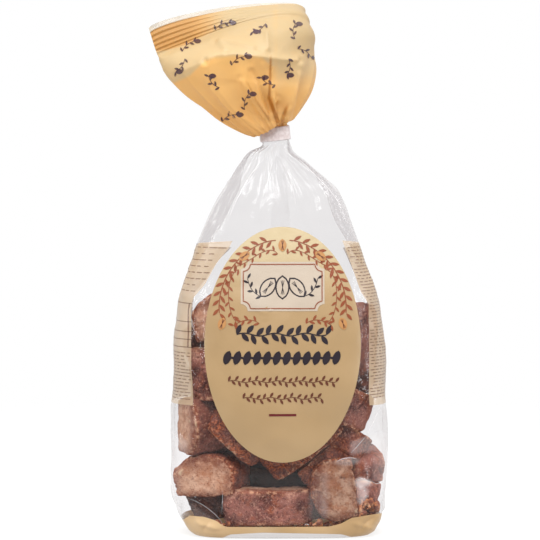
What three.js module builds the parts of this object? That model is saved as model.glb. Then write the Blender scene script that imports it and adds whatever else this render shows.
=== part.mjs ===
// A clear gusseted bag of almond biscuits, standing on its folded base.
// The bag narrows to a neck that a flat band ties, and above the band its printed
// top fans out to the left and ends in a crimped heat seal.
// Millimetres: X runs across the front, Y runs to the back, Z is up from the table.

import * as THREE from 'three';

// Mesh fineness
const RING_POINTS = 72; // points round each level of the bag
const BAND_POINTS = 64; // points round the neck band

// Neck band, and the gathered film inside it
const BAND_CENTRE = new THREE.Vector3(-2.2, 0, 208.1);
const BAND_LEAN = THREE.MathUtils.degToRad(6); // the neck leans to the left
const BAND_HEIGHT = 7.4;
const BAND_WALL = 0.5;
const BAND_GAP = 0.3; // between the band and the film
const BAND_CLEAR = 1.5; // straight film above and below the band
const WAIST_HALF_WIDTH = 6.9;
const WAIST_HALF_DEPTH = 4.6;
const WAIST_SQUARE = 2.2; // how square its oval is: 2 is an ellipse
const WAIST_PLEAT = 0.04; // height of its pleats, as a share of its size

// Folds
const PLEAT_COUNTS = [9, 14]; // coarse and fine pleats round the neck
const PLEAT_SHARES = [0.62, 0.38];
const PLEAT_PHASES = [2.0, 2.1];
const GUSSET_SPREAD = 0.3; // radians of the ring that the gusset groove takes
const BULGE_ROUND = 5; // bulges round the bag where the biscuits press on the film
const BULGE_RISE = 17; // height over which the bulges move round by a radian
const BULGE_PITCH = 12; // height over which they come and go by a radian
const SAG_FADE = 1.4; // a sagging front hangs lowest at its left and fades to the right

// Heat seal
const SEAL_RIDGES = 6;
const SEAL_HALF_THICKNESS = 0.5;
const RIDGE_HEIGHT = 0.3;
const TURN_BACK = 0.6 * Math.PI; // how far the far end of the seal curls round
const SPINE_STEP = 0.01; // share of a level over which its direction is measured

// What a level of the bag has when its row doesn't say. The middle line of a level runs from its left
// end to its right one: arch lifts its middle, bow brings it forward and turn curls its far end back.
// Front and back are the depths to each side of that line, and sag lets the front face hang.
// Pleat, gusset and bulge are shares of the level's size. Rings is how many rings of points lie
// between this level and the next.
const PLAIN_LEVEL = {
  leftY: 0, rightY: 0, arch: 0, crest: 1, bow: 0, turn: 0, sag: 0, square: 2,
  pleat: 0, gusset: 0, bulge: 0, rings: 2,
};

// The filled body: height, reach left, right and to front and back, and how square the corners are.
function bodyLevel(height, left, right, depth, square, folds) {
  return {
    ...PLAIN_LEVEL, at: height, leftX: -left, rightX: right, leftZ: height, rightZ: height,
    front: depth, back: depth, square, ...folds,
  };
}

// The gathered film where the band grips it, at a distance along the leaning neck.
function waistLevel(along) {
  const axis = new THREE.Vector3(-Math.sin(BAND_LEAN), 0, Math.cos(BAND_LEAN));
  const across = new THREE.Vector3(Math.cos(BAND_LEAN), 0, Math.sin(BAND_LEAN));
  const centre = BAND_CENTRE.clone().addScaledVector(axis, along);
  const left = centre.clone().addScaledVector(across, -WAIST_HALF_WIDTH);
  const right = centre.clone().addScaledVector(across, WAIST_HALF_WIDTH);
  return {
    ...PLAIN_LEVEL, at: centre.z, leftX: left.x, rightX: right.x, leftZ: left.z, rightZ: right.z,
    front: WAIST_HALF_DEPTH, back: WAIST_HALF_DEPTH, square: WAIST_SQUARE, pleat: WAIST_PLEAT, rings: 1,
  };
}

// A level of the fanned top: its left and right ends in space, and how deep it is.
function flareLevel(at, left, right, front, back, shape) {
  return {
    ...PLAIN_LEVEL, at, leftX: left[0], leftY: left[1], leftZ: left[2],
    rightX: right[0], rightY: right[1], rightZ: right[2], front, back, ...shape,
  };
}

const levels = [
  bodyLevel(0, 46.5, 46.8, 24.5, 3.6, { rings: 1 }),
  bodyLevel(2.5, 49.6, 49.9, 27.2, 3.6, {}),
  bodyLevel(12, 54.2, 54.8, 30, 3.4, { bulge: 0.004, rings: 3 }),
  bodyLevel(26, 56.6, 56.6, 31.5, 3.2, { bulge: 0.014, rings: 7 }),
  bodyLevel(70, 55.6, 55.6, 32, 3.1, { bulge: 0.018, rings: 5 }),
  bodyLevel(100, 54.8, 54.8, 30, 3, { bulge: 0.016, rings: 3 }),
  bodyLevel(121, 53.6, 53.2, 27, 2.9, { bulge: 0.01, gusset: 0.03, rings: 4 }),
  bodyLevel(146, 46.8, 46.2, 21.5, 2.8, { gusset: 0.16, pleat: 0.01, rings: 4 }),
  bodyLevel(171, 36.8, 37.4, 16, 2.6, { gusset: 0.3, pleat: 0.03 }),
  bodyLevel(179, 31.8, 33.2, 14, 2.5, { gusset: 0.3, pleat: 0.05 }),
  bodyLevel(184, 28, 27.4, 12, 2.4, { gusset: 0.24, pleat: 0.07 }),
  bodyLevel(193, 20.6, 15.4, 9, 2.2, { gusset: 0.1, pleat: 0.09 }),
  bodyLevel(198.6, 15.2, 6.8, 7, 2.2, { pleat: 0.09 }),
  waistLevel(-BAND_HEIGHT / 2 - BAND_CLEAR),
  waistLevel(0),
  waistLevel(BAND_HEIGHT / 2 + BAND_CLEAR),
  flareLevel(214.6, [-12.4, -0.5, 212.6], [6.4, 0.5, 214.8], 7.2, 7, {
    arch: 0.6, square: 2.4, pleat: 0.05,
  }),
  flareLevel(216.8, [-14, -1.5, 207.8], [7.8, 1, 216], 9.4, 9.6, {
    arch: 1.5, sag: 2.6, square: 2.3, pleat: 0.06, rings: 4,
  }),
  flareLevel(226, [-30, -3, 214.8], [12, 2, 222], 16, 13, { arch: 4, sag: 2, pleat: 0.13, rings: 4 }),
  flareLevel(240, [-47.4, -4, 227], [17.5, 4, 232], 22, 17, { arch: 6, pleat: 0.07, rings: 4 }),
  flareLevel(251, [-56.8, -5, 238], [19.8, 8, 243], 21, 17, {
    arch: 8, bow: 3, turn: 0.15, pleat: 0.03, rings: 4,
  }),
  flareLevel(260, [-61, -6, 245.5], [18.2, 14, 251], 12, 10, { arch: 13, bow: 3, turn: 0.6, rings: 4 }),
  flareLevel(266, [-63, -6, 249.6], [16, 20, 256], SEAL_HALF_THICKNESS, SEAL_HALF_THICKNESS, {
    arch: 17, bow: 3, turn: 1, square: 3, rings: 2 * SEAL_RIDGES,
  }),
  flareLevel(280, [-67.2, -6, 262.6], [16, 29, 263], SEAL_HALF_THICKNESS, SEAL_HALF_THICKNESS, {
    arch: 13, crest: 0.6, bow: -9.4, turn: 1, square: 3,
  }),
];

// Slopes of a smooth curve through rows of (at, value) that never swings past its rows.
function steadySlopes(at, value) {
  const steps = value.slice(1).map((next, i) => (next - value[i]) / (at[i + 1] - at[i]));
  const inner = steps.slice(1).map((next, i) => {
    const last = steps[i];
    return last * next > 0 ? (2 * last * next) / (last + next) : 0;
  });
  return [steps[0], ...inner, steps[steps.length - 1]];
}

const fieldNames = Object.keys(levels[0]).filter((name) => name !== 'at' && name !== 'rings');
const levelAt = levels.map((level) => level.at);
const slopes = Object.fromEntries(
  fieldNames.map((name) => [name, steadySlopes(levelAt, levels.map((level) => level[name]))]),
);

// The level part of the way from one row of the table to the next.
function levelBetween(row, share) {
  const gap = levelAt[row + 1] - levelAt[row];
  const square = share * share;
  const cube = square * share;
  const level = { at: levelAt[row] + gap * share };
  for (const name of fieldNames) {
    level[name] =
      levels[row][name] * (2 * cube - 3 * square + 1) +
      levels[row + 1][name] * (3 * square - 2 * cube) +
      slopes[name][row] * gap * (cube - 2 * square + share) +
      slopes[name][row + 1] * gap * (cube - square);
  }
  return level;
}

// The middle line of a level, from its left end to its right one.
function spinePoint(level, share) {
  const across = share * (1 - level.turn) + Math.sin(share * TURN_BACK) * level.turn;
  const rise = Math.sin(Math.PI * share);
  const lift = Math.max(0, rise) ** level.crest;
  return new THREE.Vector3(
    level.leftX + (level.rightX - level.leftX) * across,
    level.leftY + (level.rightY - level.leftY) * share ** 3 - level.bow * rise,
    level.leftZ + (level.rightZ - level.leftZ) * share + level.arch * lift,
  );
}

// The way from the middle line to the front face: straight forward, or square to a curling seal.
function forwardAt(level, share) {
  const before = spinePoint(level, Math.max(0, share - SPINE_STEP));
  const after = spinePoint(level, Math.min(1, share + SPINE_STEP));
  const along = after.sub(before).setZ(0).normalize();
  const square = new THREE.Vector3(along.y, -along.x, 0);
  return new THREE.Vector3(0, -1, 0).lerp(square, level.turn ** 2).normalize();
}

// Sharp-backed pleats, from -1 in the valleys to 1 on the ridges.
function pleatAt(angle) {
  return PLEAT_COUNTS.reduce((sum, count, i) => {
    const ridge = 1 - 2 * Math.abs(Math.sin((count * angle) / 2 + PLEAT_PHASES[i]));
    return sum + PLEAT_SHARES[i] * ridge;
  }, 0);
}

// The grooves where the side gussets fold in, 1 at the middle of each side.
function gussetAt(angle) {
  const fromSide = Math.min(angle, Math.abs(Math.PI - angle), 2 * Math.PI - angle);
  return Math.exp(-((fromSide / GUSSET_SPREAD) ** 2));
}

function bulgeAt(level, angle) {
  return Math.sin(BULGE_ROUND * angle + level.at / BULGE_RISE) * Math.sin(level.at / BULGE_PITCH);
}

// How far a squared oval of size 1 reaches at this angle: square 2 is a circle.
function ovalReach(angle, square) {
  return (Math.abs(Math.cos(angle)) ** square + Math.abs(Math.sin(angle)) ** square) ** (-1 / square);
}

// One closed ring of points. Angle 0 is the left end and a quarter turn on is the front.
function ringPoints(level, sealRidge) {
  const centre = spinePoint(level, 0.5);
  const points = [];
  for (let i = 0; i < RING_POINTS; i += 1) {
    const angle = (2 * Math.PI * i) / RING_POINTS;
    const reach = ovalReach(angle, level.square);
    const forward = Math.sin(angle);
    const share = (1 - Math.cos(angle) * reach) / 2;
    const depth = forward * reach * (forward > 0 ? level.front : level.back);
    const point = spinePoint(level, share);
    point.addScaledVector(forwardAt(level, share), depth + Math.sign(forward) * sealRidge);
    point.z -= level.sag * Math.max(0, forward) * (SAG_FADE - share);
    const pleats = level.pleat * pleatAt(angle);
    const grooves = level.gusset * gussetAt(angle);
    const swell = pleats - grooves + level.bulge * bulgeAt(level, angle);
    point.x += (point.x - centre.x) * swell;
    point.y += (point.y - centre.y) * swell;
    points.push(point);
  }
  return points;
}

// Joins rings of equal count into one closed body, with a flat fan at the bottom and,
// at the top, the front half of the last ring zipped to its back half.
function closedLoft(rings) {
  const count = rings[0].length;
  const faces = [];
  for (let r = 0; r + 1 < rings.length; r += 1) {
    for (let i = 0; i < count; i += 1) {
      const next = (i + 1) % count;
      const low = r * count;
      const high = low + count;
      faces.push([low + i, low + next, high + next], [low + i, high + next, high + i]);
    }
  }
  const bottomCentre = rings.length * count;
  const foot = rings[0].reduce((sum, point) => sum.add(point), new THREE.Vector3()).divideScalar(count);
  for (let i = 0; i < count; i += 1) {
    faces.push([bottomCentre, (i + 1) % count, i]);
  }
  const last = (rings.length - 1) * count;
  const half = count / 2;
  for (let i = 0; i < half; i += 1) {
    const front = last + i;
    const back = last + ((count - i) % count);
    faces.push([front, front + 1, last + count - i - 1]);
    if (i > 0) {
      faces.push([front, last + count - i - 1, back]);
    }
  }
  return geometryFrom([...rings.flat(), foot], faces.filter((face) => new Set(face).size === 3));
}

function geometryFrom(points, faces) {
  const geometry = new THREE.BufferGeometry();
  geometry.setAttribute('position', new THREE.Float32BufferAttribute(points.flatMap((p) => p.toArray()), 3));
  geometry.setIndex(faces.flat());
  geometry.computeVertexNormals();
  return geometry;
}

function bagGeometry() {
  const rings = [];
  const sealRow = levels.length - 2;
  levels.slice(0, -1).forEach(({ rings: steps }, row) => {
    for (let step = 0; step < steps; step += 1) {
      const ridge = row === sealRow && step % 2 === 1 ? RIDGE_HEIGHT : 0;
      rings.push(ringPoints(levelBetween(row, step / steps), ridge));
    }
  });
  rings.push(ringPoints(levels[levels.length - 1], 0));
  return closedLoft(rings);
}

// A flat band round the waist: a rectangle of film carried round a squared oval.
function bandGeometry() {
  const innerWidth = WAIST_HALF_WIDTH * (1 + WAIST_PLEAT) + BAND_GAP;
  const innerDepth = WAIST_HALF_DEPTH * (1 + WAIST_PLEAT) + BAND_GAP;
  const corners = [[0, -1], [1, -1], [1, 1], [0, 1]]; // outward and upward, walked round the wall
  const points = [];
  const faces = [];
  for (let i = 0; i < BAND_POINTS; i += 1) {
    const angle = (2 * Math.PI * i) / BAND_POINTS;
    const reach = ovalReach(angle, WAIST_SQUARE);
    for (const [out, up] of corners) {
      points.push(new THREE.Vector3(
        Math.cos(angle) * reach * (innerWidth + out * BAND_WALL),
        Math.sin(angle) * reach * (innerDepth + out * BAND_WALL),
        (up * BAND_HEIGHT) / 2,
      ));
    }
    for (let c = 0; c < corners.length; c += 1) {
      const here = i * corners.length;
      const next = ((i + 1) % BAND_POINTS) * corners.length;
      const turn = (c + 1) % corners.length;
      faces.push([here + c, next + c, next + turn], [here + c, next + turn, here + turn]);
    }
  }
  return geometryFrom(points, faces);
}

const film = new THREE.MeshStandardMaterial({
  color: 0xe8e6e6, roughness: 0.15, transparent: true, opacity: 0.5,
});
const bandFilm = new THREE.MeshStandardMaterial({ color: 0xc8beb8, roughness: 0.45 });

const bag = new THREE.Mesh(bagGeometry(), film);
bag.name = 'bag';

const neckBand = new THREE.Mesh(bandGeometry(), bandFilm);
neckBand.name = 'neck_band';
neckBand.position.copy(BAND_CENTRE);
neckBand.rotation.y = -BAND_LEAN;

const group = new THREE.Group();
group.add(bag, neckBand);

export default group;
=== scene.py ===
# %% [markdown]
# # A clear bag of almond biscuits
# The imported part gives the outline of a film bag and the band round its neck. This scene
# dresses it: thin clear film over a heap of biscuits, a printed top and an oval front label.
# Lengths are worked out in millimetres, because film folds and crumbs are easier to think of
# that way, and each mesh is written in metres.

import math

import bpy
import numpy as np
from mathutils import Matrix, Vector
from mathutils.bvhtree import BVHTree


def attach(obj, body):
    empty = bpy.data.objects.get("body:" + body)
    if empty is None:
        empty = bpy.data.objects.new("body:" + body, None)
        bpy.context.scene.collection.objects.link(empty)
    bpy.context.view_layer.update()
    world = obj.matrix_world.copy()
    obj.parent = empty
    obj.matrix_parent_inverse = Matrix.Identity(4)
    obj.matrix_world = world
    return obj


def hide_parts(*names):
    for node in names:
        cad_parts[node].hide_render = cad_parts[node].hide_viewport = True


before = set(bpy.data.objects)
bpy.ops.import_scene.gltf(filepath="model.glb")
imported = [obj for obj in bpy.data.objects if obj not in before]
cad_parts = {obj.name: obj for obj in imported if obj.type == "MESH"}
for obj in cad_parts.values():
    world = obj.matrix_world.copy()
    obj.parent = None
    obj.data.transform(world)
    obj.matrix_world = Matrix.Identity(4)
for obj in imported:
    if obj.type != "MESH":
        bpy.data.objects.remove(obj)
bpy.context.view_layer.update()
MM = 0.001
TAU = 2 * math.pi
print("nodes", sorted(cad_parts))

# %% [markdown]
# ## Where the camera stands
# The bag was photographed from a little above its middle with a long lens. The camera comes
# first, because folds and biscuits are placed by where they appear in the picture. One pixel
# of the 540 pixel picture is 0.52 mm at the bag.

# %% Camera
PIXEL = 0.52
BASE_PIXEL = (279.0, 533.0)
CAMERA_RISE = math.radians(4.5)
PICTURE = 540
LENS = 250.0
SENSOR = 36.0
CLIP_END = 20

view_x = (PICTURE / 2 - BASE_PIXEL[0]) * PIXEL
view_z = (BASE_PIXEL[1] - PICTURE / 2) * PIXEL / math.cos(CAMERA_RISE)
distance = PICTURE * PIXEL * LENS / SENSOR
camera_data = bpy.data.cameras.new("camera")
camera_data.lens = LENS
camera_data.sensor_width = SENSOR
camera_data.clip_end = CLIP_END
camera = bpy.data.objects.new("camera", camera_data)
bpy.context.scene.collection.objects.link(camera)
camera.location = (
    view_x * MM,
    -distance * math.cos(CAMERA_RISE) * MM,
    (view_z + distance * math.sin(CAMERA_RISE)) * MM,
)
camera.rotation_euler = (math.pi / 2 - CAMERA_RISE, 0, 0)
bpy.context.scene.camera = camera
EYE = np.array(camera.location) / MM
LOOK = np.array([0.0, math.cos(CAMERA_RISE), -math.sin(CAMERA_RISE)])
VIEW_UP = np.array([0.0, math.sin(CAMERA_RISE), math.cos(CAMERA_RISE)])
print("camera distance mm", round(distance))


def sight(px, py):
    """The way from the camera through a pixel of the picture."""
    aside = np.array([(px - PICTURE / 2) * PIXEL, 0.0, 0.0])
    return LOOK * distance + aside + VIEW_UP * (PICTURE / 2 - py) * PIXEL


def seen_at(px, py, y):
    """The point in mm at depth y that shows at a pixel of the picture."""
    way = sight(px, py)
    return EYE + way * (y - EYE[1]) / way[1]


def in_picture(points):
    """Pixels at which points in mm show, as an array with the same shape but two numbers a point."""
    from_eye = points - EYE
    scale = distance / (from_eye @ LOOK) / PIXEL
    return np.stack(
        [PICTURE / 2 + from_eye[..., 0] * scale, PICTURE / 2 - (from_eye @ VIEW_UP) * scale], axis=-1
    )


# %% [markdown]
# ## The bag's form
# The film hangs between a table of levels, from the folded base through the waist under the
# band to the heat seal. Each level is a squared oval carried along a middle line, so the same
# few numbers give the body, the neck and the fanned top. They repeat the part's own source,
# because this file can't read it, and the film lies exactly where the solid is.

# %% Levels, from the table to the seal
BAND_CENTRE = np.array([-2.2, 0.0, 208.1])
BAND_LEAN = math.radians(6)
BAND_HEIGHT = 7.4
BAND_CLEAR = 1.5
WAIST_HALF_WIDTH = 6.9
WAIST_HALF_DEPTH = 4.6
WAIST_SQUARE = 2.2
WAIST_PLEAT = 0.04
SEAL_HALF_THICKNESS = 0.5
SEAL_RIDGES = 6
PLAIN_LEVEL = dict(
    leftY=0, rightY=0, arch=0, crest=1, bow=0, turn=0, sag=0, square=2, pleat=0, gusset=0, bulge=0
)


def body_level(height, left, right, depth, square, **folds):
    return {
        **PLAIN_LEVEL, "at": height, "leftX": -left, "rightX": right, "leftZ": height,
        "rightZ": height, "front": depth, "back": depth, "square": square, **folds,
    }


def waist_level(along):
    axis = np.array([-math.sin(BAND_LEAN), 0, math.cos(BAND_LEAN)])
    across = np.array([math.cos(BAND_LEAN), 0, math.sin(BAND_LEAN)])
    middle = BAND_CENTRE + axis * along
    left, right = middle - across * WAIST_HALF_WIDTH, middle + across * WAIST_HALF_WIDTH
    return {
        **PLAIN_LEVEL, "at": middle[2], "leftX": left[0], "rightX": right[0], "leftZ": left[2],
        "rightZ": right[2], "front": WAIST_HALF_DEPTH, "back": WAIST_HALF_DEPTH,
        "square": WAIST_SQUARE, "pleat": WAIST_PLEAT,
    }


def flare_level(at, left, right, front, back, **shape):
    return {
        **PLAIN_LEVEL, "at": at, "leftX": left[0], "leftY": left[1], "leftZ": left[2],
        "rightX": right[0], "rightY": right[1], "rightZ": right[2], "front": front,
        "back": back, **shape,
    }


SEAL_START = 266
SEAL_TOP = 280
LEVELS = [
    body_level(0, 46.5, 46.8, 24.5, 3.6),
    body_level(2.5, 49.6, 49.9, 27.2, 3.6),
    body_level(12, 54.2, 54.8, 30, 3.4, bulge=0.004),
    body_level(26, 56.6, 56.6, 31.5, 3.2, bulge=0.014),
    body_level(70, 55.6, 55.6, 32, 3.1, bulge=0.018),
    body_level(100, 54.8, 54.8, 30, 3, bulge=0.016),
    body_level(121, 53.6, 53.2, 27, 2.9, bulge=0.01, gusset=0.03),
    body_level(146, 46.8, 46.2, 21.5, 2.8, gusset=0.16, pleat=0.01),
    body_level(171, 36.8, 37.4, 16, 2.6, gusset=0.3, pleat=0.03),
    body_level(179, 31.8, 33.2, 14, 2.5, gusset=0.3, pleat=0.05),
    body_level(184, 28, 27.4, 12, 2.4, gusset=0.24, pleat=0.07),
    body_level(193, 20.6, 15.4, 9, 2.2, gusset=0.1, pleat=0.09),
    body_level(198.6, 15.2, 6.8, 7, 2.2, pleat=0.09),
    waist_level(-BAND_HEIGHT / 2 - BAND_CLEAR),
    waist_level(0),
    waist_level(BAND_HEIGHT / 2 + BAND_CLEAR),
    flare_level(
        214.6, (-12.4, -0.5, 212.6), (6.4, 0.5, 214.8), 7.2, 7, arch=0.6, square=2.4, pleat=0.05,
    ),
    flare_level(
        216.8, (-14, -1.5, 207.8), (7.8, 1, 216), 9.4, 9.6, arch=1.5, sag=2.6, square=2.3, pleat=0.06
    ),
    flare_level(226, (-30, -3, 214.8), (12, 2, 222), 16, 13, arch=4, sag=2, pleat=0.13),
    flare_level(240, (-47.4, -4, 227), (17.5, 4, 232), 22, 17, arch=6, pleat=0.07),
    flare_level(251, (-56.8, -5, 238), (19.8, 8, 243), 21, 17, arch=8, bow=3, turn=0.15, pleat=0.03),
    flare_level(260, (-61, -6, 245.5), (18.2, 14, 251), 12, 10, arch=13, bow=3, turn=0.6),
    flare_level(
        SEAL_START, (-63, -6, 249.6), (16, 20, 256), SEAL_HALF_THICKNESS, SEAL_HALF_THICKNESS,
        arch=17, bow=3, turn=1, square=3,
    ),
    flare_level(
        SEAL_TOP, (-67.2, -6, 262.6), (16, 29, 263), SEAL_HALF_THICKNESS, SEAL_HALF_THICKNESS,
        arch=13, crest=0.6, bow=-9.4, turn=1, square=3,
    ),
]
LEVEL_AT = np.array([level["at"] for level in LEVELS], float)
FIELDS = {
    name: np.array([level[name] for level in LEVELS], float) for name in LEVELS[0] if name != "at"
}


def steady_slopes(values):
    """Slopes of a smooth curve through the rows that never swings past them."""
    steps = np.diff(values) / np.diff(LEVEL_AT)
    last, after = steps[:-1], steps[1:]
    same_way = last * after > 0
    inner = np.where(same_way, 2 * last * after / np.where(same_way, last + after, 1), 0)
    return np.concatenate([steps[:1], inner, steps[-1:]])


SLOPES = {name: steady_slopes(values) for name, values in FIELDS.items()}


def level_between(at):
    """Every field of the table at heights between its rows."""
    row = np.clip(np.searchsorted(LEVEL_AT, at, side="right") - 1, 0, len(LEVEL_AT) - 2)
    gap = LEVEL_AT[row + 1] - LEVEL_AT[row]
    share = (at - LEVEL_AT[row]) / gap
    square, cube = share**2, share**3
    return {
        name: values[row] * (2 * cube - 3 * square + 1)
        + values[row + 1] * (3 * square - 2 * cube)
        + SLOPES[name][row] * gap * (cube - 2 * square + share)
        + SLOPES[name][row + 1] * gap * (cube - square)
        for name, values in FIELDS.items()
    }


print("levels", len(LEVELS), "from", LEVEL_AT[0], "to", LEVEL_AT[-1], "mm")

# %% Points on the form
PLEAT_COUNTS = (9, 14)
PLEAT_SHARES = (0.62, 0.38)
PLEAT_PHASES = (2.0, 2.1)
GUSSET_SPREAD = 0.3
BULGE_ROUND = 5
BULGE_RISE = 17
BULGE_PITCH = 12
SAG_FADE = 1.4
TURN_BACK = 0.6 * math.pi
SPINE_STEP = 0.01


def spine_point(level, share):
    across = share * (1 - level["turn"]) + np.sin(share * TURN_BACK) * level["turn"]
    rise = np.sin(math.pi * share)
    lift = np.maximum(0, rise) ** level["crest"]
    x = level["leftX"] + (level["rightX"] - level["leftX"]) * across
    y = level["leftY"] + (level["rightY"] - level["leftY"]) * share**3 - level["bow"] * rise
    z = level["leftZ"] + (level["rightZ"] - level["leftZ"]) * share + level["arch"] * lift
    return np.stack(np.broadcast_arrays(x, y, z), axis=-1)


def unit(vectors):
    return vectors / np.maximum(np.linalg.norm(vectors, axis=-1, keepdims=True), 1e-9)


def forward_at(level, share):
    """The way from the middle line to the front face: forward, or square to the curling seal."""
    along = spine_point(level, np.minimum(1, share + SPINE_STEP)) - spine_point(
        level, np.maximum(0, share - SPINE_STEP)
    )
    along[..., 2] = 0
    along = unit(along)
    square = np.stack([along[..., 1], -along[..., 0], np.zeros_like(along[..., 0])], axis=-1)
    amount = np.broadcast_to(level["turn"] ** 2, share.shape)[..., None]
    return unit(np.array([0.0, -1.0, 0.0]) * (1 - amount) + square * amount)


def film_form(at, angle, wave=0.0):
    """Points of the film in mm. Angle 0 is the left end and a quarter turn on is the front.
    A wave moves both faces of the sheet forward alike, as the ridges of a seal do."""
    at, angle = np.broadcast_arrays(np.asarray(at, float), np.asarray(angle, float))
    level = level_between(at)
    sine, cosine = np.sin(angle), np.cos(angle)
    power = level["square"]
    reach = (np.abs(cosine) ** power + np.abs(sine) ** power) ** (-1 / power)
    share = (1 - cosine * reach) / 2
    depth = sine * reach * np.where(sine > 0, level["front"], level["back"]) + wave
    points = spine_point(level, share) + forward_at(level, share) * depth[..., None]
    points[..., 2] -= level["sag"] * np.maximum(0, sine) * (SAG_FADE - share)
    pleats = sum(
        part * (1 - 2 * np.abs(np.sin(count * angle / 2 + phase)))
        for count, part, phase in zip(PLEAT_COUNTS, PLEAT_SHARES, PLEAT_PHASES)
    )
    turned = np.mod(angle, TAU)
    from_side = np.minimum(np.minimum(turned, np.abs(math.pi - turned)), TAU - turned)
    groove = np.exp(-((from_side / GUSSET_SPREAD) ** 2))
    bulge = np.sin(BULGE_ROUND * angle + at / BULGE_RISE) * np.sin(at / BULGE_PITCH)
    swell = level["pleat"] * pleats - level["gusset"] * groove + level["bulge"] * bulge
    centre = spine_point(level, np.full_like(share, 0.5))
    points[..., :2] += (points[..., :2] - centre[..., :2]) * swell[..., None]
    return points


print("front of the body at 70 mm", np.round(film_form(70, math.pi / 2), 1))

# %% [markdown]
# ## Small tools
# The folds, biscuits and prints share a few helpers: even noise that gives the same numbers
# each run, normals of a grid of points, a way to turn arrays into a mesh object, and short words
# for the nodes that are used again and again.

# %% Noise, grids, meshes and nodes
NOISE_CELLS = 64


def soft_noise(x, y, size, seed):
    """Smooth noise from -1 to 1 over a plane in mm, with features of a given size."""
    table = np.random.default_rng(seed).uniform(-1, 1, (NOISE_CELLS, NOISE_CELLS))
    gx, gy = x / size, y / size
    ix, iy = np.floor(gx).astype(int), np.floor(gy).astype(int)
    fx, fy = gx - ix, gy - iy
    fx, fy = fx * fx * (3 - 2 * fx), fy * fy * (3 - 2 * fy)
    ix0, ix1 = ix % NOISE_CELLS, (ix + 1) % NOISE_CELLS
    iy0, iy1 = iy % NOISE_CELLS, (iy + 1) % NOISE_CELLS
    low = table[ix0, iy0] * (1 - fx) + table[ix1, iy0] * fx
    high = table[ix0, iy1] * (1 - fx) + table[ix1, iy1] * fx
    return low * (1 - fy) + high * fy


def ramp(value, start, end):
    """0 before start, 1 after end and smooth between them."""
    share = np.clip((value - start) / (end - start), 0, 1)
    return share * share * (3 - 2 * share)


def grid_normals(points, closed=True):
    """Outward directions of a grid whose rows go up and whose columns go from left to front."""
    along = np.gradient(points, axis=0)
    if closed:
        around = np.roll(points, -1, axis=1) - np.roll(points, 1, axis=1)
    else:
        around = np.gradient(points, axis=1)
    return unit(np.cross(around, along))


def grid_faces(rows, columns, closed=True):
    """Four-sided faces of a grid, facing out."""
    r = np.arange(rows - 1)[:, None]
    c = np.arange(columns if closed else columns - 1)[None, :]
    here = r * columns + c
    beside = r * columns + (c + 1) % columns
    return np.stack([here, beside, beside + columns, here + columns], axis=-1).reshape(-1, 4)


def make_piece(name, points, faces, material, smooth=True, numbers=None):
    """A mesh object from points in mm, faces and numbers for each point."""
    mesh = bpy.data.meshes.new(name)
    faces = [list(map(int, face)) for face in faces]
    mesh.from_pydata(np.reshape(points, (-1, 3)) * MM, [], faces)
    mesh.update()
    mesh.polygons.foreach_set("use_smooth", np.full(len(faces), smooth))
    for key, values in (numbers or {}).items():
        attribute = mesh.attributes.new(key, "FLOAT", "POINT")
        attribute.data.foreach_set("value", np.ravel(values).astype(np.float32))
    mesh.materials.append(material)
    piece = bpy.data.objects.new(name, mesh)
    bpy.context.scene.collection.objects.link(piece)
    triangles = sum(len(face) - 2 for face in faces)
    print(f"{name}: {triangles} triangles")
    return piece


def add(tree, kind, feeds=None, **settings):
    """Adds a node, with its settings, and its inputs as values or as sockets to link."""
    new = tree.nodes.new(kind)
    for key, value in settings.items():
        setattr(new, key, value)
    for socket, value in (feeds or {}).items():
        if isinstance(value, bpy.types.NodeSocket):
            tree.links.new(value, new.inputs[socket])
        else:
            new.inputs[socket].default_value = value
    return new


def calc(tree, operation, *values, clamp=False):
    feeds = dict(enumerate(values))
    return add(tree, "ShaderNodeMath", feeds, operation=operation, use_clamp=clamp).outputs[0]


def plus(tree, one, other):
    return calc(tree, "ADD", one, other)


def minus(tree, one, other):
    return calc(tree, "SUBTRACT", one, other)


def times(tree, one, other):
    return calc(tree, "MULTIPLY", one, other)


def scaled(tree, vector, amount):
    """A vector or a colour times a number."""
    feeds = {0: vector, "Scale": amount}
    return add(tree, "ShaderNodeVectorMath", feeds, operation="SCALE").outputs[0]


def xyz(tree, vector):
    """The three parts of a vector."""
    return add(tree, "ShaderNodeSeparateXYZ", {0: vector}).outputs


def place_of(tree):
    return add(tree, "GeometryNodeInputPosition").outputs[0]


def normal_of(tree):
    return add(tree, "GeometryNodeInputNormal").outputs[0]


def mark(tree, name):
    """A number that each point of a mesh carries under a name."""
    return add(tree, "ShaderNodeAttribute", attribute_name=name).outputs["Fac"]


def relief(tree, height, strength, depth):
    """Fine relief for a shader's normal, from heights."""
    feeds = {"Height": height, "Strength": strength, "Distance": depth}
    return add(tree, "ShaderNodeBump", feeds).outputs[0]


def lit_through(tree, output, shader, colour, share):
    """Lets a share of the light come through a shader's skin."""
    glow = add(tree, "ShaderNodeBsdfTranslucent", {"Color": colour})
    both = add(tree, "ShaderNodeMixShader", {0: share, 1: shader.outputs[0], 2: glow.outputs[0]})
    tree.links.new(both.outputs[0], output.inputs["Surface"])


def new_tree(name, inputs):
    """A Geometry Nodes tree with inputs of a name, a kind and a value, and its input sockets."""
    tree = bpy.data.node_groups.new(name, "GeometryNodeTree")
    for label_name, kind, value in inputs:
        kind = "NodeSocket" + kind
        socket = tree.interface.new_socket(name=label_name, in_out="INPUT", socket_type=kind)
        if value is not None:
            socket.default_value = value
    tree.interface.new_socket(name="Geometry", in_out="OUTPUT", socket_type="NodeSocketGeometry")
    return tree, add(tree, "NodeGroupInput").outputs


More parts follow.
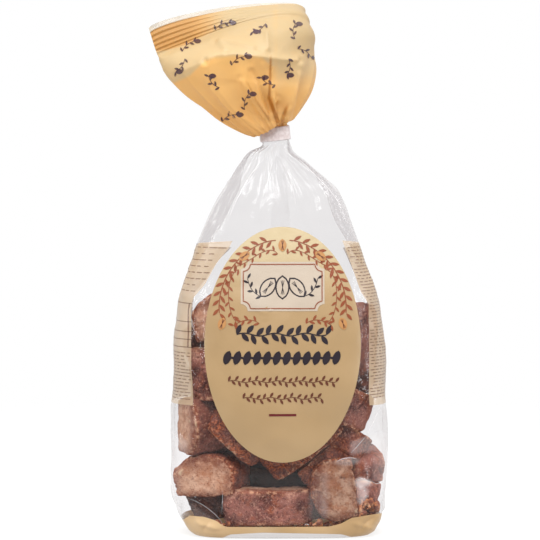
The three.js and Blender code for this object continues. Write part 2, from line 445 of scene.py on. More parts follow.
def end_tree(tree, geometry, material):
    """Ends a tree: its instances are made real and get their material."""
    whole = add(tree, "GeometryNodeRealizeInstances", {"Geometry": geometry}).outputs[0]
    feeds = {"Geometry": whole, "Material": material}
    final = add(tree, "GeometryNodeSetMaterial", feeds).outputs[0]
    tree.links.new(final, add(tree, "NodeGroupOutput").inputs[0])
    print(f"{tree.name}: {len(tree.nodes)} nodes")


def rescale(tree, value, start, end, low=0.0, high=1.0):
    feeds = {"Value": value, "From Min": start, "From Max": end, "To Min": low, "To Max": high}
    return add(tree, "ShaderNodeMapRange", feeds, interpolation_type="SMOOTHSTEP").outputs["Result"]


def noise(tree, where, size, detail=2.0, seed=None, rough=0.5):
    """Noise with features of a size in metres."""
    feeds = {"Vector": where, "Scale": 1 / size, "Detail": detail, "Roughness": rough}
    if seed is None:
        return add(tree, "ShaderNodeTexNoise", feeds).outputs[0]
    feeds["W"] = seed
    return add(tree, "ShaderNodeTexNoise", feeds, noise_dimensions="4D").outputs[0]


def mixed(tree, amount, first, second, way="MIX"):
    """A colour between two colours."""
    feeds = {0: amount, 6: first, 7: second}
    return add(tree, "ShaderNodeMix", feeds, data_type="RGBA", blend_type=way).outputs[2]


def ink(red, green, blue):
    """A colour from its 8-bit screen numbers."""
    shares = [number / 255 for number in (red, green, blue)]
    linear = [c / 12.92 if c <= 0.04 else ((c + 0.055) / 1.055) ** 2.4 for c in shares]
    return (*linear, 1.0)


def new_material(name, colour):
    """A material with nodes, its tree, its Principled shader and its output."""
    material = bpy.data.materials.new(name)
    material.use_nodes = True
    material.diffuse_color = colour
    tree = material.node_tree
    shader = next(n for n in tree.nodes if n.type == "BSDF_PRINCIPLED")
    shader.inputs["Base Color"].default_value = colour
    output = next(n for n in tree.nodes if n.type == "OUTPUT_MATERIAL")
    where = add(tree, "ShaderNodeTexCoord").outputs["Object"]
    return material, tree, shader, output, where


# %% [markdown]
# ## Baked biscuit
# The crust is a dull mauve brown with rust and dark patches. Where the loaf was sliced, the
# crumb shows: pale, full of small pores and browned towards the rim, with bits of almond. The
# slice's mesh carries where each of these is, so one material can colour them all.

# %% Biscuit material
DARK_CRUST = ink(80, 40, 36)
MAUVE_CRUST = ink(150, 94, 82)
RUST_CRUST = ink(152, 80, 50)
LIGHT_CRUST = ink(208, 156, 134)
PALE_CRUMB = ink(222, 178, 150)
TAN_CRUMB = ink(192, 140, 110)
BROWN_CRUMB = ink(124, 60, 40)
ORANGE_CRUMB = ink(178, 104, 60)
EDGE_GLINT = ink(228, 174, 138)
ALMOND = ink(226, 196, 162)
RUSTY_DARK = ink(88, 36, 20)
RUSTY_LIGHT = ink(196, 100, 50)

biscuit_finish, tree, shader, output, where = new_material("biscuit_finish", MAUVE_CRUST)


def spread_over(size, detail, low, high, amount=1.0, rough=0.5):
    """Patches of a size in metres, from 0 to an amount."""
    return rescale(tree, noise(tree, where, size, detail, rough=rough), low, high, 0.0, amount)


crust = mixed(tree, spread_over(0.012, 4.0, 0.36, 0.60), DARK_CRUST, MAUVE_CRUST)
crust = mixed(tree, spread_over(0.0045, 3.0, 0.50, 0.72, 0.7), crust, RUST_CRUST)
crust = mixed(tree, spread_over(0.0010, 3.0, 0.55, 0.66, 0.7, 0.7), crust, LIGHT_CRUST)
crust = mixed(tree, spread_over(0.0015, 3.0, 0.45, 0.34, 0.8, 0.7), crust, DARK_CRUST)
crust = mixed(tree, times(tree, mark(tree, "edge"), 0.6), crust, RUST_CRUST)
scuffed = times(tree, mark(tree, "scuff"), spread_over(0.0012, 3.0, 0.38, 0.62, 0.9, 0.7))
crust = mixed(tree, scuffed, crust, LIGHT_CRUST)
rusty = mixed(tree, spread_over(0.0010, 3.0, 0.42, 0.62, 1.0, 0.75), RUSTY_DARK, RUSTY_LIGHT)
rusty = mixed(tree, spread_over(0.0045, 2.0, 0.50, 0.34, 0.6), rusty, DARK_CRUST)
rusted = times(tree, mark(tree, "rust"), spread_over(0.008, 2.0, 0.25, 0.55))
crust = mixed(tree, rusted, crust, rusty)
crumb = mixed(tree, spread_over(0.0050, 5.0, 0.36, 0.62, 1.0, 0.72), TAN_CRUMB, PALE_CRUMB)
orange = times(tree, mark(tree, "rust"), spread_over(0.0075, 5.0, 0.46, 0.60, 0.8, 0.75))
crumb = mixed(tree, orange, crumb, ORANGE_CRUMB)
uneven_rim = times(tree, mark(tree, "rim"), spread_over(0.0040, 4.0, 0.26, 0.56, 1.0, 0.75))
crumb = mixed(tree, uneven_rim, crumb, BROWN_CRUMB)
crumb = mixed(tree, spread_over(0.0011, 2.0, 0.44, 0.34, 0.6, 0.75), crumb, BROWN_CRUMB)
# painted shade: the crumb darker in its pores
crumb = mixed(tree, times(tree, mark(tree, "pit"), 0.7), crumb, BROWN_CRUMB)
colour = mixed(tree, mark(tree, "crumb"), crust, crumb)
# painted glints: pale flecks along the edges of the crust
painted_edge_glint = times(tree, mark(tree, "edge"), spread_over(0.0022, 3.0, 0.50, 0.60, 0.8, 0.7))
colour = mixed(tree, painted_edge_glint, colour, EDGE_GLINT)
colour = mixed(tree, times(tree, mark(tree, "nut"), 0.7), colour, ALMOND)
# painted shade: darker still in pores and cracks
colour = mixed(tree, times(tree, mark(tree, "pit"), 0.4), colour, DARK_CRUST)
# tone scales the colour: partly how dark a biscuit was baked, partly painted shade on biscuits in
# shaded gaps
tree.links.new(scaled(tree, colour, mark(tree, "tone")), shader.inputs["Base Color"])
crumbly = noise(tree, where, 0.0009, 4.0, rough=0.7)
tree.links.new(relief(tree, crumbly, 1.0, 0.0006), shader.inputs["Normal"])
shader.inputs["Roughness"].default_value = 0.75
shader.inputs["Specular IOR Level"].default_value = 0.25
print("biscuit material", len(tree.nodes), "nodes")

# %% [markdown]
# ## One slice of the baked loaf
# Almond biscuits of this kind are sliced across a low loaf: a flat bottom, a domed top, round
# ends, and two sawn faces. That is a rule with a few sizes, so Geometry Nodes make it: a box
# of small faces is bent to the loaf's section, then lumps, pores, cracks and almond bits are
# pushed in along its normals. Every slice has its own sizes and seed.

# %% Slice tree
slice_tree, sizes = new_tree("loaf_slice", [
    ("Length", "Float", 0.05), ("Thickness", "Float", 0.022), ("Height", "Float", 0.02),
    ("Dome", "Float", 0.52), ("Lumps", "Float", 0.0014), ("Pores", "Float", 0.0010),
    ("Seed", "Float", 0.0), ("Cells Along", "Int", 50), ("Cells Across", "Int", 24),
    ("Cells Up", "Int", 22),
])
tree = slice_tree
box = add(
    tree, "GeometryNodeMeshCube",
    {"Size": (2, 2, 2), "Vertices X": sizes["Cells Along"], "Vertices Y": sizes["Cells Across"],
     "Vertices Z": sizes["Cells Up"]},
)
parts = xyz(tree, place_of(tree))
p, q, r = parts[0], parts[1], parts[2]
p_size, q_size, r_size = (calc(tree, "ABSOLUTE", value) for value in (p, q, r))
rim = calc(tree, "MAXIMUM", p_size, r_size)
sawn = times(tree, calc(tree, "GREATER_THAN", q_size, 0.999), calc(tree, "LESS_THAN", rim, 0.96))
browned = times(tree, rescale(tree, rim, 0.58, 1.0), 0.8)
browned = calc(tree, "MAXIMUM", browned, rescale(tree, r, 0.05, 0.85, 0.0, 0.95))
edge = times(tree, calc(tree, "POWER", rim, 8.0), calc(tree, "POWER", q_size, 8.0))


def keep(tree, geometry, name, value):
    feeds = {"Geometry": geometry, "Name": name, "Value": value}
    new = add(tree, "GeometryNodeStoreNamedAttribute", feeds, data_type="FLOAT", domain="POINT")
    return new.outputs[0]


kept = keep(tree, box.outputs["Mesh"], "crumb", sawn)
kept = keep(tree, kept, "rim", browned)
kept = keep(tree, kept, "edge", edge)

upper = rescale(tree, r, -0.9, 0.6)
LOW_CORNER = 0.14
dome_more = minus(tree, sizes["Dome"], LOW_CORNER)
corner = plus(tree, LOW_CORNER, times(tree, upper, dome_more))


def squeezed(own, other):
    """One coordinate of the section, drawn in where the other is far out."""
    cut = times(tree, corner, times(tree, other, other))
    return times(tree, own, calc(tree, "SQRT", minus(tree, 1.0, cut)))


worn = minus(tree, 1.0, times(tree, 0.05, calc(tree, "POWER", q_size, 12.0)))
rounded = minus(tree, 1.0, times(tree, 0.08, calc(tree, "POWER", rim, 12.0)))


def half_of(size, *factors):
    value = times(tree, size, 0.5)
    for factor in factors:
        value = times(tree, value, factor)
    return value


bent = add(
    tree, "ShaderNodeCombineXYZ",
    {0: half_of(sizes["Length"], squeezed(p, r), worn), 1: half_of(sizes["Thickness"], q, rounded),
     2: half_of(sizes["Height"], squeezed(r, p), worn)},
)
formed = add(tree, "GeometryNodeSetPosition", {"Geometry": kept, "Position": bent.outputs[0]})

place = place_of(tree)
normal = normal_of(tree)
seed = sizes["Seed"]
feeds = {"Name": "crumb"}
crumb_here = add(tree, "GeometryNodeInputNamedAttribute", feeds, data_type="FLOAT").outputs[0]


def seeded(shift):
    return plus(tree, seed, shift)


def cells(where, size, feature, shift):
    feeds = {"Vector": where, "Scale": 1 / size, "W": seeded(shift)}
    kind = {"voronoi_dimensions": "4D", "feature": feature}
    return add(tree, "ShaderNodeTexVoronoi", feeds, **kind).outputs


def waves(size, detail, shift):
    """Noise of the slice's own, about zero."""
    return minus(tree, noise(tree, place, size, detail, seeded(shift) if shift else seed), 0.5)


swelling = waves(0.015, 2.0, 0)
lumps = waves(0.0052, 2.0, 6.4)
rough = waves(0.0019, 3.0, 3.1)
on_crust = minus(tree, 1.0, crumb_here)
pore = rescale(tree, cells(place, 0.0027, "F1", 5.3)["Distance"], 0.34, 0.08)
pore_near = rescale(tree, noise(tree, place, 0.006, 1.0, seeded(8.0)), 0.42, 0.6)
more_on_crumb = rescale(tree, crumb_here, 0.0, 1.0, 0.45, 1.0)
pit = times(tree, times(tree, pore, pore_near), more_on_crumb)
warp_feeds = {"Vector": place, "Scale": 220.0, "Detail": 2.0}
warp = scaled(tree, add(tree, "ShaderNodeTexNoise", warp_feeds).outputs[1], 0.006)
bent_place = add(tree, "ShaderNodeVectorMath", {0: place, 1: warp}).outputs[0]
bit_cells = cells(bent_place, 0.008, "F1", 11.7)
picked = calc(tree, "GREATER_THAN", xyz(tree, bit_cells["Color"])[0], 0.86)
bit = rescale(tree, bit_cells["Distance"], 0.34, 0.27)
bit = times(tree, bit, times(tree, picked, crumb_here))
crack_cells = cells(bent_place, 0.013, "DISTANCE_TO_EDGE", 2.2)["Distance"]
crack_near = rescale(tree, noise(tree, place, 0.012, 1.0, seeded(21.0)), 0.44, 0.62)
crack = times(tree, rescale(tree, crack_cells, 0.055, 0.0), times(tree, on_crust, crack_near))
scuffed = rescale(tree, noise(tree, place, 0.013, 2.0, seeded(31.0)), 0.58, 0.66)
scuffed = times(tree, scuffed, on_crust)
roughness = rescale(tree, scuffed, 0.0, 1.0, 0.0011, 0.0024)
push = times(tree, swelling, times(tree, sizes["Lumps"], 2.6))
push = plus(tree, push, times(tree, lumps, 0.0015))
push = plus(tree, push, times(tree, rough, roughness))
push = minus(tree, push, times(tree, pit, sizes["Pores"]))
push = plus(tree, push, times(tree, bit, 0.0005))
push = minus(tree, push, times(tree, crack, 0.0011))
push = minus(tree, push, times(tree, scuffed, 0.0005))
# pores and cracks, which the material darkens as painted shade
sunk_in = calc(tree, "MAXIMUM", pit, times(tree, crack, 0.7))
marked = keep(tree, formed.outputs[0], "pit", sunk_in)
marked = keep(tree, marked, "nut", bit)
marked = keep(tree, marked, "scuff", scuffed)
feeds = {"Geometry": marked, "Offset": scaled(tree, normal, push)}
end_tree(tree, add(tree, "GeometryNodeSetPosition", feeds).outputs[0], biscuit_finish)

# %% Run a tree and take its mesh


def made_by(tree, start=None, **values):
    """The plain mesh that a node tree makes, with its inputs set by their names."""
    holder = bpy.data.objects.new("holder", start or bpy.data.meshes.new("holder"))
    bpy.context.scene.collection.objects.link(holder)
    modifier = holder.modifiers.new("nodes", "NODES")
    modifier.node_group = tree
    for item in tree.interface.items_tree:
        if item.item_type == "SOCKET" and item.in_out == "INPUT" and item.name in values:
            modifier[item.identifier] = values[item.name]
    holder.update_tag()
    bpy.context.view_layer.update()
    evaluated = holder.evaluated_get(bpy.context.evaluated_depsgraph_get())
    mesh = bpy.data.meshes.new_from_object(evaluated)
    holder.modifiers.remove(modifier)
    bpy.data.objects.remove(holder)
    return mesh


def mesh_arrays(mesh, names=()):
    """Points in mm, faces and named numbers of a mesh."""
    points = np.zeros(len(mesh.vertices) * 3, np.float32)
    mesh.vertices.foreach_get("co", points)
    faces = [list(face.vertices) for face in mesh.polygons]
    numbers = {}
    for name in names:
        values = np.zeros(len(mesh.vertices), np.float32)
        mesh.attributes[name].data.foreach_get("value", values)
        numbers[name] = values
    return points.reshape(-1, 3).astype(float) / MM, faces, numbers


# %% [markdown]
# ## The heap
# The photo fixes the biscuits in front: each row gives where a biscuit shows, which face it
# turns to us, how it lies, its sizes and a tone. A tone is partly how dark the biscuit was baked,
# and the lowest tones are painted shade on biscuits that sit deep in shaded gaps. Those behind
# follow the same heap but are only guessed. A short settling pass then moves them apart and in
# from the film, so that the list can stay rough.

# %% Where each biscuit lies
# face, pixel across and down, depth of the face, length, thickness, height, roll, yaw, pitch,
# tone (partly baked colour; the lowest are painted shade in shaded gaps), rust
FRONT_BISCUITS = [
    ("sawn", 199.5, 476, -21.5, 35, 24, 23, 4, -24, 0, 0.93, 0.6),
    ("crust", 268, 509, -28.5, 46, 18.4, 18, 1, 0, 0, 1.06, 0.0),
    ("sawn", 334, 490.5, -27.5, 33, 20, 24, 97, 6, 0, 0.69, 0.9),
    ("crust", 206, 344, -13, 30, 16, 14, 0, -20, 0, 0.45, 0.3),
    ("crust", 366, 513, -8, 17, 10, 10, 8, 25, 0, 0.7, 0.95),
    ("end", 377, 465, -13, 38, 18.5, 19, -4, 27, 0, 1.08, 0.0),
    ("crust", 214, 507, -13, 26, 18, 15, 22, 0, 0, 0.42, 0.2),
    ("crust", 277, 484, -9.5, 40, 16, 14, 0, 0, 0, 0.18, 0.3),
    ("crust", 375, 493, -12, 24, 12, 14, -10, 40, 0, 1.3, 0.1),
    ("crust", 240, 434, -27, 34, 20, 17, -42, 0, 0, 0.9, 0.9),
    ("crust", 298, 440, -25, 46, 25, 15, 39, 0, 4, 0.96, 1.0),
    ("crust", 328, 464, -23, 31, 13, 13, 42, 6, 0, 0.9, 0.6),
    ("sawn", 185, 427, -19, 30, 24, 21, -88, -58, 0, 0.85, 0.1),
    ("crust", 221, 375, -26, 41, 27, 17, 2, -18, 0, 1.1, 0.1),
    ("sawn", 229, 315, -22, 42, 20, 26, 8, -16, 0, 0.96, 0.5),
    ("crust", 338, 404, -26, 40, 20, 18, -20, 13, 0, 0.9, 0.05),
    ("crust", 350, 441, -20, 26, 14, 13, -32, 18, 0, 0.82, 0.5),
    ("crust", 364, 350, -21, 47, 22, 17, 88, 18, 0, 0.92, 0.15),
    ("crust", 322, 345, -25, 40, 20, 17, 70, 0, 0, 0.9, 0.1),
]
# face, x, y, z, length, thickness, height, roll, yaw, pitch, tone, rust; the first one's tone
# of 0.6 is painted shade, as it shows in a shaded gap
HIDDEN_BISCUITS = [
    ("crust", -4, -14, 62, 44, 22, 18, 8, 0, 0, 0.6, 0.3),
    ("sawn", 2, -15, 84, 44, 20, 20, -12, 0, 0, 0.9, 0.3),
    ("crust", 0, -12, 105, 42, 21, 19, 10, 0, 0, 0.95, 0.2),
    ("sawn", 4, 0, 104, 38, 20, 18, -8, 4, 0, 0.95, 0.3),
    ("crust", -23, 17, 15, 44, 20, 20, 3, 186, 0, 0.95, 0.2),
    ("sawn", 23, 17, 15, 44, 20, 20, -3, 174, 0, 1.0, 0.3),
    ("crust", -2, 15, 36, 48, 20, 21, 3, 180, 0, 0.9, 0.1),
    ("sawn", 37, 10, 38, 30, 19, 20, 80, 168, 0, 0.95, 0.3),
    ("crust", -37, 10, 38, 30, 19, 20, 84, 192, 0, 0.9, 0.2),
    ("sawn", -20, 16, 58, 44, 20, 20, 8, 184, 0, 0.95, 0.3),
    ("crust", 24, 15, 60, 42, 20, 20, -10, 176, 0, 0.9, 0.1),
    ("sawn", 2, 16, 80, 44, 20, 20, -6, 178, 0, 1.0, 0.3),
    ("end", -44, 4, 72, 36, 17, 20, 6, 4, 0, 0.95, 0.1),
    ("end", -43, 2, 96, 34, 16, 21, -4, 4, 0, 0.9, 0.2),
    ("end", 45, 4, 84, 36, 16, 20, 4, -4, 0, 0.9, 0.1),
    ("end", 43, 3, 107, 32, 16, 20, -6, -4, 0, 0.85, 0.2),
    ("crust", -20, 13, 100, 40, 20, 19, 12, 184, 0, 0.95, 0.1),
    ("sawn", 20, 13, 102, 38, 20, 19, -12, 174, 0, 0.95, 0.3),
    ("crust", -10, 8, 112, 36, 18, 16, -6, 182, 0, 0.95, 0.2),
]
TOWARD_US = {"sawn": ("y", -1), "crust": ("z", 1), "end": ("x", 1)}


def turn_about(axis, degrees):
    """A rotation matrix about x, y or z."""
    c, s = math.cos(math.radians(degrees)), math.sin(math.radians(degrees))
    i, j = {"x": (1, 2), "y": (2, 0), "z": (0, 1)}[axis]
    matrix = np.eye(3)
    matrix[i, i] = matrix[j, j] = c
    matrix[i, j], matrix[j, i] = -s, s
    return matrix


FACING = {
    "sawn": np.eye(3),
    "crust": turn_about("x", 90),
    "end": turn_about("z", -90),
}


def laid(row, held):
    """One biscuit from its row. A held one shows the middle of its face at the row's pixel."""
    face, length, thickness, height, roll, yaw, pitch, tone, rust = row[0], *row[4:]
    way = turn_about("z", yaw) @ turn_about("x", pitch) @ turn_about("y", -roll) @ FACING[face]
    size = np.array([length, thickness, height], float)
    centre = np.array(row[1:4], float)
    if held:
        axis, sign = TOWARD_US[face]
        k = "xyz".index(axis)
        centre = seen_at(*row[1:4]) - way[:, k] * sign * size[k] / 2
    return {"centre": centre, "way": way, "size": size, "tone": tone, "rust": rust, "held": held}


heap = [laid(row, True) for row in FRONT_BISCUITS] + [laid(row, False) for row in HIDDEN_BISCUITS]
print("biscuits", len(heap))

# %% Settle the heap
SETTLE_STEPS = 70
BOX_SHARE = np.array([0.92, 0.94, 0.92])
FLOOR_HEIGHT = 4.6
WALL_CLEAR = 1.0
HEAP_TOP = 124.0
EASE = 0.6
CORNER_CUT = 0.12
CORNER_SHARE = 0.95
LEVELS_TO = 150
HELD_GIVES, LOOSE_GIVES = 0.3, 0.7
WORTH_TELLING = 1.5


def way_out(one, other):
    """How two boxes overlap: the shortest move that parts them, or None."""
    delta = other["centre"] - one["centre"]
    halves = [item["size"] * BOX_SHARE / 2 for item in (one, other)]
    if np.linalg.norm(delta) > np.linalg.norm(halves[0]) + np.linalg.norm(halves[1]):
        return None
    a, b = one["way"].T, other["way"].T
    axes = np.concatenate([a, b, np.cross(a[:, None, :], b[None, :, :]).reshape(-1, 3)])
    axes = axes[np.linalg.norm(axes, axis=1) > 1e-4]
    axes = unit(axes)
    reach = np.abs(axes @ a.T) @ halves[0] + np.abs(axes @ b.T) @ halves[1]
    along = axes @ delta
    gap = np.abs(along) - reach
    if gap.max() > 0:
        return None
    k = int(gap.argmax())
    return axes[k] * (1 if along[k] > 0 else -1) * -gap[k]


corners = np.array([(i, j, k) for i in (-1, 0, 1) for j in (-1, 0, 1) for k in (-1, 0, 1)], float)
corners *= 1 - CORNER_CUT * (np.abs(corners).sum(1, keepdims=True) == 3)


def push_in(item):
    """Moves a biscuit in from the film and up from the folded base."""
    points = (corners * item["size"] / 2 * CORNER_SHARE) @ item["way"].T + item["centre"]
    item["centre"][2] += max(0, FLOOR_HEIGHT - points[:, 2].min())
    level = level_between(np.clip(points[:, 2], 0, LEVELS_TO))
    width = np.where(points[:, 0] < 0, -level["leftX"], level["rightX"]) - WALL_CLEAR
    depth = level["front"] - WALL_CLEAR
    power = level["square"]
    out = (np.abs(points[:, 0] / width) ** power + np.abs(points[:, 1] / depth) ** power) ** (1 / power)
    k = int(out.argmax())
    if out[k] > 1:
        gives = np.array([HELD_GIVES if item["held"] else LOOSE_GIVES, 1.0])
        item["centre"][:2] -= points[k, :2] * (1 - 1 / out[k]) * gives
    return out[k]


placed = [item["centre"].copy() for item in heap]
for step in range(SETTLE_STEPS):
    for i, one in enumerate(heap):
        for other in heap[i + 1:]:
            move = way_out(one, other)
            if move is None or (one["held"] and other["held"]):
                continue
            share = 0.0 if one["held"] else 1.0 if other["held"] else 0.5
            one["centre"] -= move * share * EASE
            other["centre"] += move * (1 - share) * EASE
    for item in heap:
        push_in(item)
        if not item["held"]:
            half_rise = 0.5 * float(np.abs(item["way"][2]) @ item["size"])
            item["centre"][2] = min(item["centre"][2], HEAP_TOP - half_rise)
moved = [float(np.linalg.norm(item["centre"] - old)) for item, old in zip(heap, placed)]
overlaps = [way_out(one, other) for i, one in enumerate(heap) for other in heap[i + 1:]]
overlaps = [float(np.linalg.norm(move)) for move in overlaps if move is not None]
overlaps = [depth for depth in overlaps if depth > WORTH_TELLING]
print("moves mm", np.round(moved, 1))
print(len(overlaps), "pairs overlap by over", WORTH_TELLING, "mm, at most", round(max(overlaps), 1))
print("shares of the way to the film", [round(float(push_in(item)), 2) for item in heap])

# %% Make the biscuits
CELL = {"front": 0.66, "hidden": 1.25}
FEWEST_CELLS = 8
SEED_STEP = 7.3
ATTRIBUTES = ("crumb", "rim", "edge", "pit", "nut", "scuff")
heap_points, heap_faces = [], []


def bake(name, items, cell, first_seed):
    """One piece from several slices, each in its place."""
    points, faces, numbers = [], [], {key: [] for key in (*ATTRIBUTES, "tone", "rust")}
    count = 0
    for k, item in enumerate(items):
        length, thickness, height = item["size"]
        counts = [max(FEWEST_CELLS, round(side / cell)) for side in item["size"]]
        mesh = made_by(
            slice_tree, Length=length * MM, Thickness=thickness * MM, Height=height * MM,
            Seed=float(first_seed + k * SEED_STEP),
            **{"Cells Along": counts[0], "Cells Across": counts[1], "Cells Up": counts[2]},
        )
        own, own_faces, own_numbers = mesh_arrays(mesh, ATTRIBUTES)
        bpy.data.meshes.remove(mesh)
        points.append(own @ item["way"].T + item["centre"])
        faces += [[v + count for v in face] for face in own_faces]
        for key in ATTRIBUTES:
            numbers[key].append(own_numbers[key])
        for key in ("tone", "rust"):
            numbers[key].append(np.full(len(own), item[key]))
        count += len(own)
    points = np.concatenate(points)
    numbers = {key: np.concatenate(values) for key, values in numbers.items()}
    heap_points.append(points)
    heap_faces.append(faces)
    return make_piece(name, points, faces, biscuit_finish, numbers=numbers)


front_count = len(FRONT_BISCUITS)
half = front_count // 2
biscuit_pieces = [
    bake("biscuits_low", heap[:half], CELL["front"], 1),
    bake("biscuits_high", heap[half:front_count], CELL["front"], 101),
    bake("biscuits_behind", heap[front_count:], CELL["hidden"], 201),
]
starts = np.cumsum([0, *(len(points) for points in heap_points)])
obstacle = BVHTree.FromPolygons(
    [Vector(p) for p in np.concatenate(heap_points)],
    [[v + int(s) for v in face] for faces, s in zip(heap_faces, starts) for face in faces],
)

# %% [markdown]
# ## Crumbs
# Baked crumbs lie along the folded base and heap up in the right front corner. Scattered small
# things are a job for instances: a tree strews points over a low mound, sets a rough crumb on
# each with its own turn and size, and then realizes them all as one plain mesh.

# %% Crumb tree
crumb_finish, tree, shader, output, where = new_material("crumb_finish", ink(150, 88, 58))
crumb_patch = rescale(tree, noise(tree, where, 0.0035, 2.0), 0.4, 0.6)
crumb_tone = mixed(tree, crumb_patch, ink(130, 66, 44), ink(212, 136, 84))
# pale crumb bits, partly painted highlights
pale_bits_and_highlights = rescale(tree, noise(tree, where, 0.006, 2.0), 0.56, 0.68)
crumb_tone = mixed(tree, pale_bits_and_highlights, crumb_tone, ink(222, 178, 142))
tree.links.new(crumb_tone, shader.inputs["Base Color"])
shader.inputs["Roughness"].default_value = 0.8
crumb_tree, sizes = new_tree("crumbs_on_mound", [
    ("Mound", "Geometry", None), ("Spacing", "Float", 0.0009), ("Crumb", "Float", 0.001),
    ("Seed", "Int", 4),
])
tree = crumb_tree
spots = add(
    tree, "GeometryNodeDistributePointsOnFaces",
    {"Mesh": sizes["Mound"], "Distance Min": sizes["Spacing"], "Density Max": 900000.0,
     "Seed": sizes["Seed"]},
    distribute_method="POISSON",
).outputs["Points"]
lump = add(tree, "GeometryNodeMeshIcoSphere", {"Radius": 1.0, "Subdivisions": 2}).outputs["Mesh"]
dent = minus(tree, noise(tree, place_of(tree), 1.1, 1.0, sizes["Seed"]), 0.5)
dented = scaled(tree, normal_of(tree), times(tree, dent, 1.4))
lump = add(tree, "GeometryNodeSetPosition", {"Geometry": lump, "Offset": dented}).outputs[0]
turns = {0: (0, 0, 0), 1: (TAU, TAU, TAU), "Seed": sizes["Seed"]}
spin = add(tree, "FunctionNodeRandomValue", turns, data_type="FLOAT_VECTOR").outputs[0]
grades = {2: 0.0, 3: 1.0, "Seed": plus(tree, sizes["Seed"], 1)}
grade = add(tree, "FunctionNodeRandomValue", grades).outputs[1]
grade = rescale(tree, calc(tree, "POWER", grade, 2.5), 0.0, 1.0, 0.4, 1.6)
grade = times(tree, sizes["Crumb"], grade)
flattened = {0: grade, 1: times(tree, grade, 0.75), 2: times(tree, grade, 0.6)}
flattened = add(tree, "ShaderNodeCombineXYZ", flattened).outputs[0]
set_out = {"Points": spots, "Instance": lump, "Rotation": spin, "Scale": flattened}
end_tree(tree, add(tree, "GeometryNodeInstanceOnPoints", set_out).outputs[0], crumb_finish)

# %% Crumbs on the base
# x, y, half width, half depth, base height, height of the mound
MOUNDS = [
    (45, -15.5, 10, 7.5, 5, 12.5), (4, -22.5, 42, 2.6, 5.4, 2.4), (33, -21.5, 6, 3, 5, 7.0),
    (-34, -18, 9, 3, 5, 1.6),
]
MOUND_CELLS = (21, 13)
CRUMB_CORNERS = 42
CRUMB_CLEAR = 1.5
CRUMB_SQUARE = 3.2
FILM_SINKS = 2.8
mound_points, mound_faces = [], []
for x, y, half_x, half_y, low, rise in MOUNDS:
    du, dw = np.meshgrid(*(np.linspace(-1, 1, count) for count in MOUND_CELLS))
    dome = np.maximum(0, 1 - du**4) * np.maximum(0, 1 - dw**2)
    first = sum(len(part) for part in mound_points)
    own = np.stack([x + half_x * du, y + half_y * dw, low + rise * dome], axis=-1)
    mound_points.append(own.reshape(-1, 3))
    mound_faces += (grid_faces(*MOUND_CELLS[::-1], closed=False) + first).tolist()
mound = bpy.data.meshes.new("mound")
mound.from_pydata(np.concatenate(mound_points) * MM, [], mound_faces)
crumb_mesh = made_by(crumb_tree, mound, Spacing=1.4 * MM, Crumb=1.55 * MM, Seed=4)
crumb_points, crumb_faces, _ = mesh_arrays(crumb_mesh)
middles = crumb_points.reshape(-1, CRUMB_CORNERS, 3).mean(axis=1)
crumb_level = level_between(middles[:, 2])
half_width = np.where(middles[:, 0] < 0, -crumb_level["leftX"], crumb_level["rightX"]) - CRUMB_CLEAR
half_depth = crumb_level["front"] - CRUMB_CLEAR - FILM_SINKS
out = sum(
    np.abs(middles[:, k] / half) ** CRUMB_SQUARE for k, half in enumerate((half_width, half_depth))
)
inside = np.repeat(out < 1, CRUMB_CORNERS)
index = np.cumsum(inside) - 1
crumb_faces = [[int(index[v]) for v in face] for face in crumb_faces if inside[face[0]]]
print("crumbs kept", int((out < 1).sum()), "of", len(out))
crumbs = make_piece("crumbs", crumb_points[inside], crumb_faces, crumb_finish, smooth=False)

# %% [markdown]
# ## Clear film
# The film of the body is one sheet on the part's form. It leans on the biscuits and sinks a
# little between them, as a soft film does, and it is creased all over: long folds run down
# from the neck, small flat facets meet in sharp lines, and a few larger folds are laid where
# the photo shows them. The sheet is a grid of points, so each of these is a push in or out.

# %% Film at rest on the form
FILM_COLUMNS = 300


def spaced(*bands):
    """Heights in bands of a start, an end and a count, each ending where the next one starts."""
    rows = [np.linspace(start, end, count)[:-1] for start, end, count in bands]
    return np.concatenate([*rows, [bands[-1][1]]])


film_rows = spaced((0, 14, 22), (14, 150, 168), (150, 198, 62), (198, 211.5, 20))
film_angles = np.arange(FILM_COLUMNS) * TAU / FILM_COLUMNS
row_height = film_rows[:, None] + np.zeros(FILM_COLUMNS)
column_angle = film_angles[None, :] + np.zeros((len(film_rows), 1))
film = film_form(row_height, column_angle)
film_out = grid_normals(film)
x_film = np.cumsum(np.linalg.norm(np.roll(film, -1, 1) - film, axis=2), axis=1)
print("film grid", film.shape[:2])

# %% Lean the film on the biscuits
FILM_GAP = 0.35
SINK = 2.6
SINK_RATE = 0.012
SINK_STEPS = 160
FREE = 12.0
START_OUT = 6.0
HEAP_BELOW = 156
LABEL_CENTRE = (1.8, 100.6)
LABEL_HALF = (40.2, 60.3)
LABEL_FADE = 0.08
clearance = np.full(film.shape[:2], FREE)
for i in np.nonzero(film_rows < HEAP_BELOW)[0]:
    for j in range(FILM_COLUMNS):
        start = Vector(film[i, j] + film_out[i, j] * START_OUT)
        hit = obstacle.ray_cast(start, Vector(-film_out[i, j]), START_OUT + FREE)
        if hit[0] is not None:
            clearance[i, j] = hit[3] - START_OUT
lowest = clearance.copy()
for up in (-2, -1, 0, 1, 2):
    for aside in (-1, 0, 1):
        lowest = np.minimum(lowest, np.roll(np.roll(clearance, up, 0), aside, 1))
limit = lowest - FILM_GAP


def in_label(points):
    """1 inside the oval label on the front and 0 outside it."""
    across = (points[..., 0] - LABEL_CENTRE[0]) / LABEL_HALF[0]
    up = (points[..., 2] - LABEL_CENTRE[1]) / LABEL_HALF[1]
    return (1 - ramp(np.hypot(across, up), 1, 1 + LABEL_FADE)) * (points[..., 1] < 0)


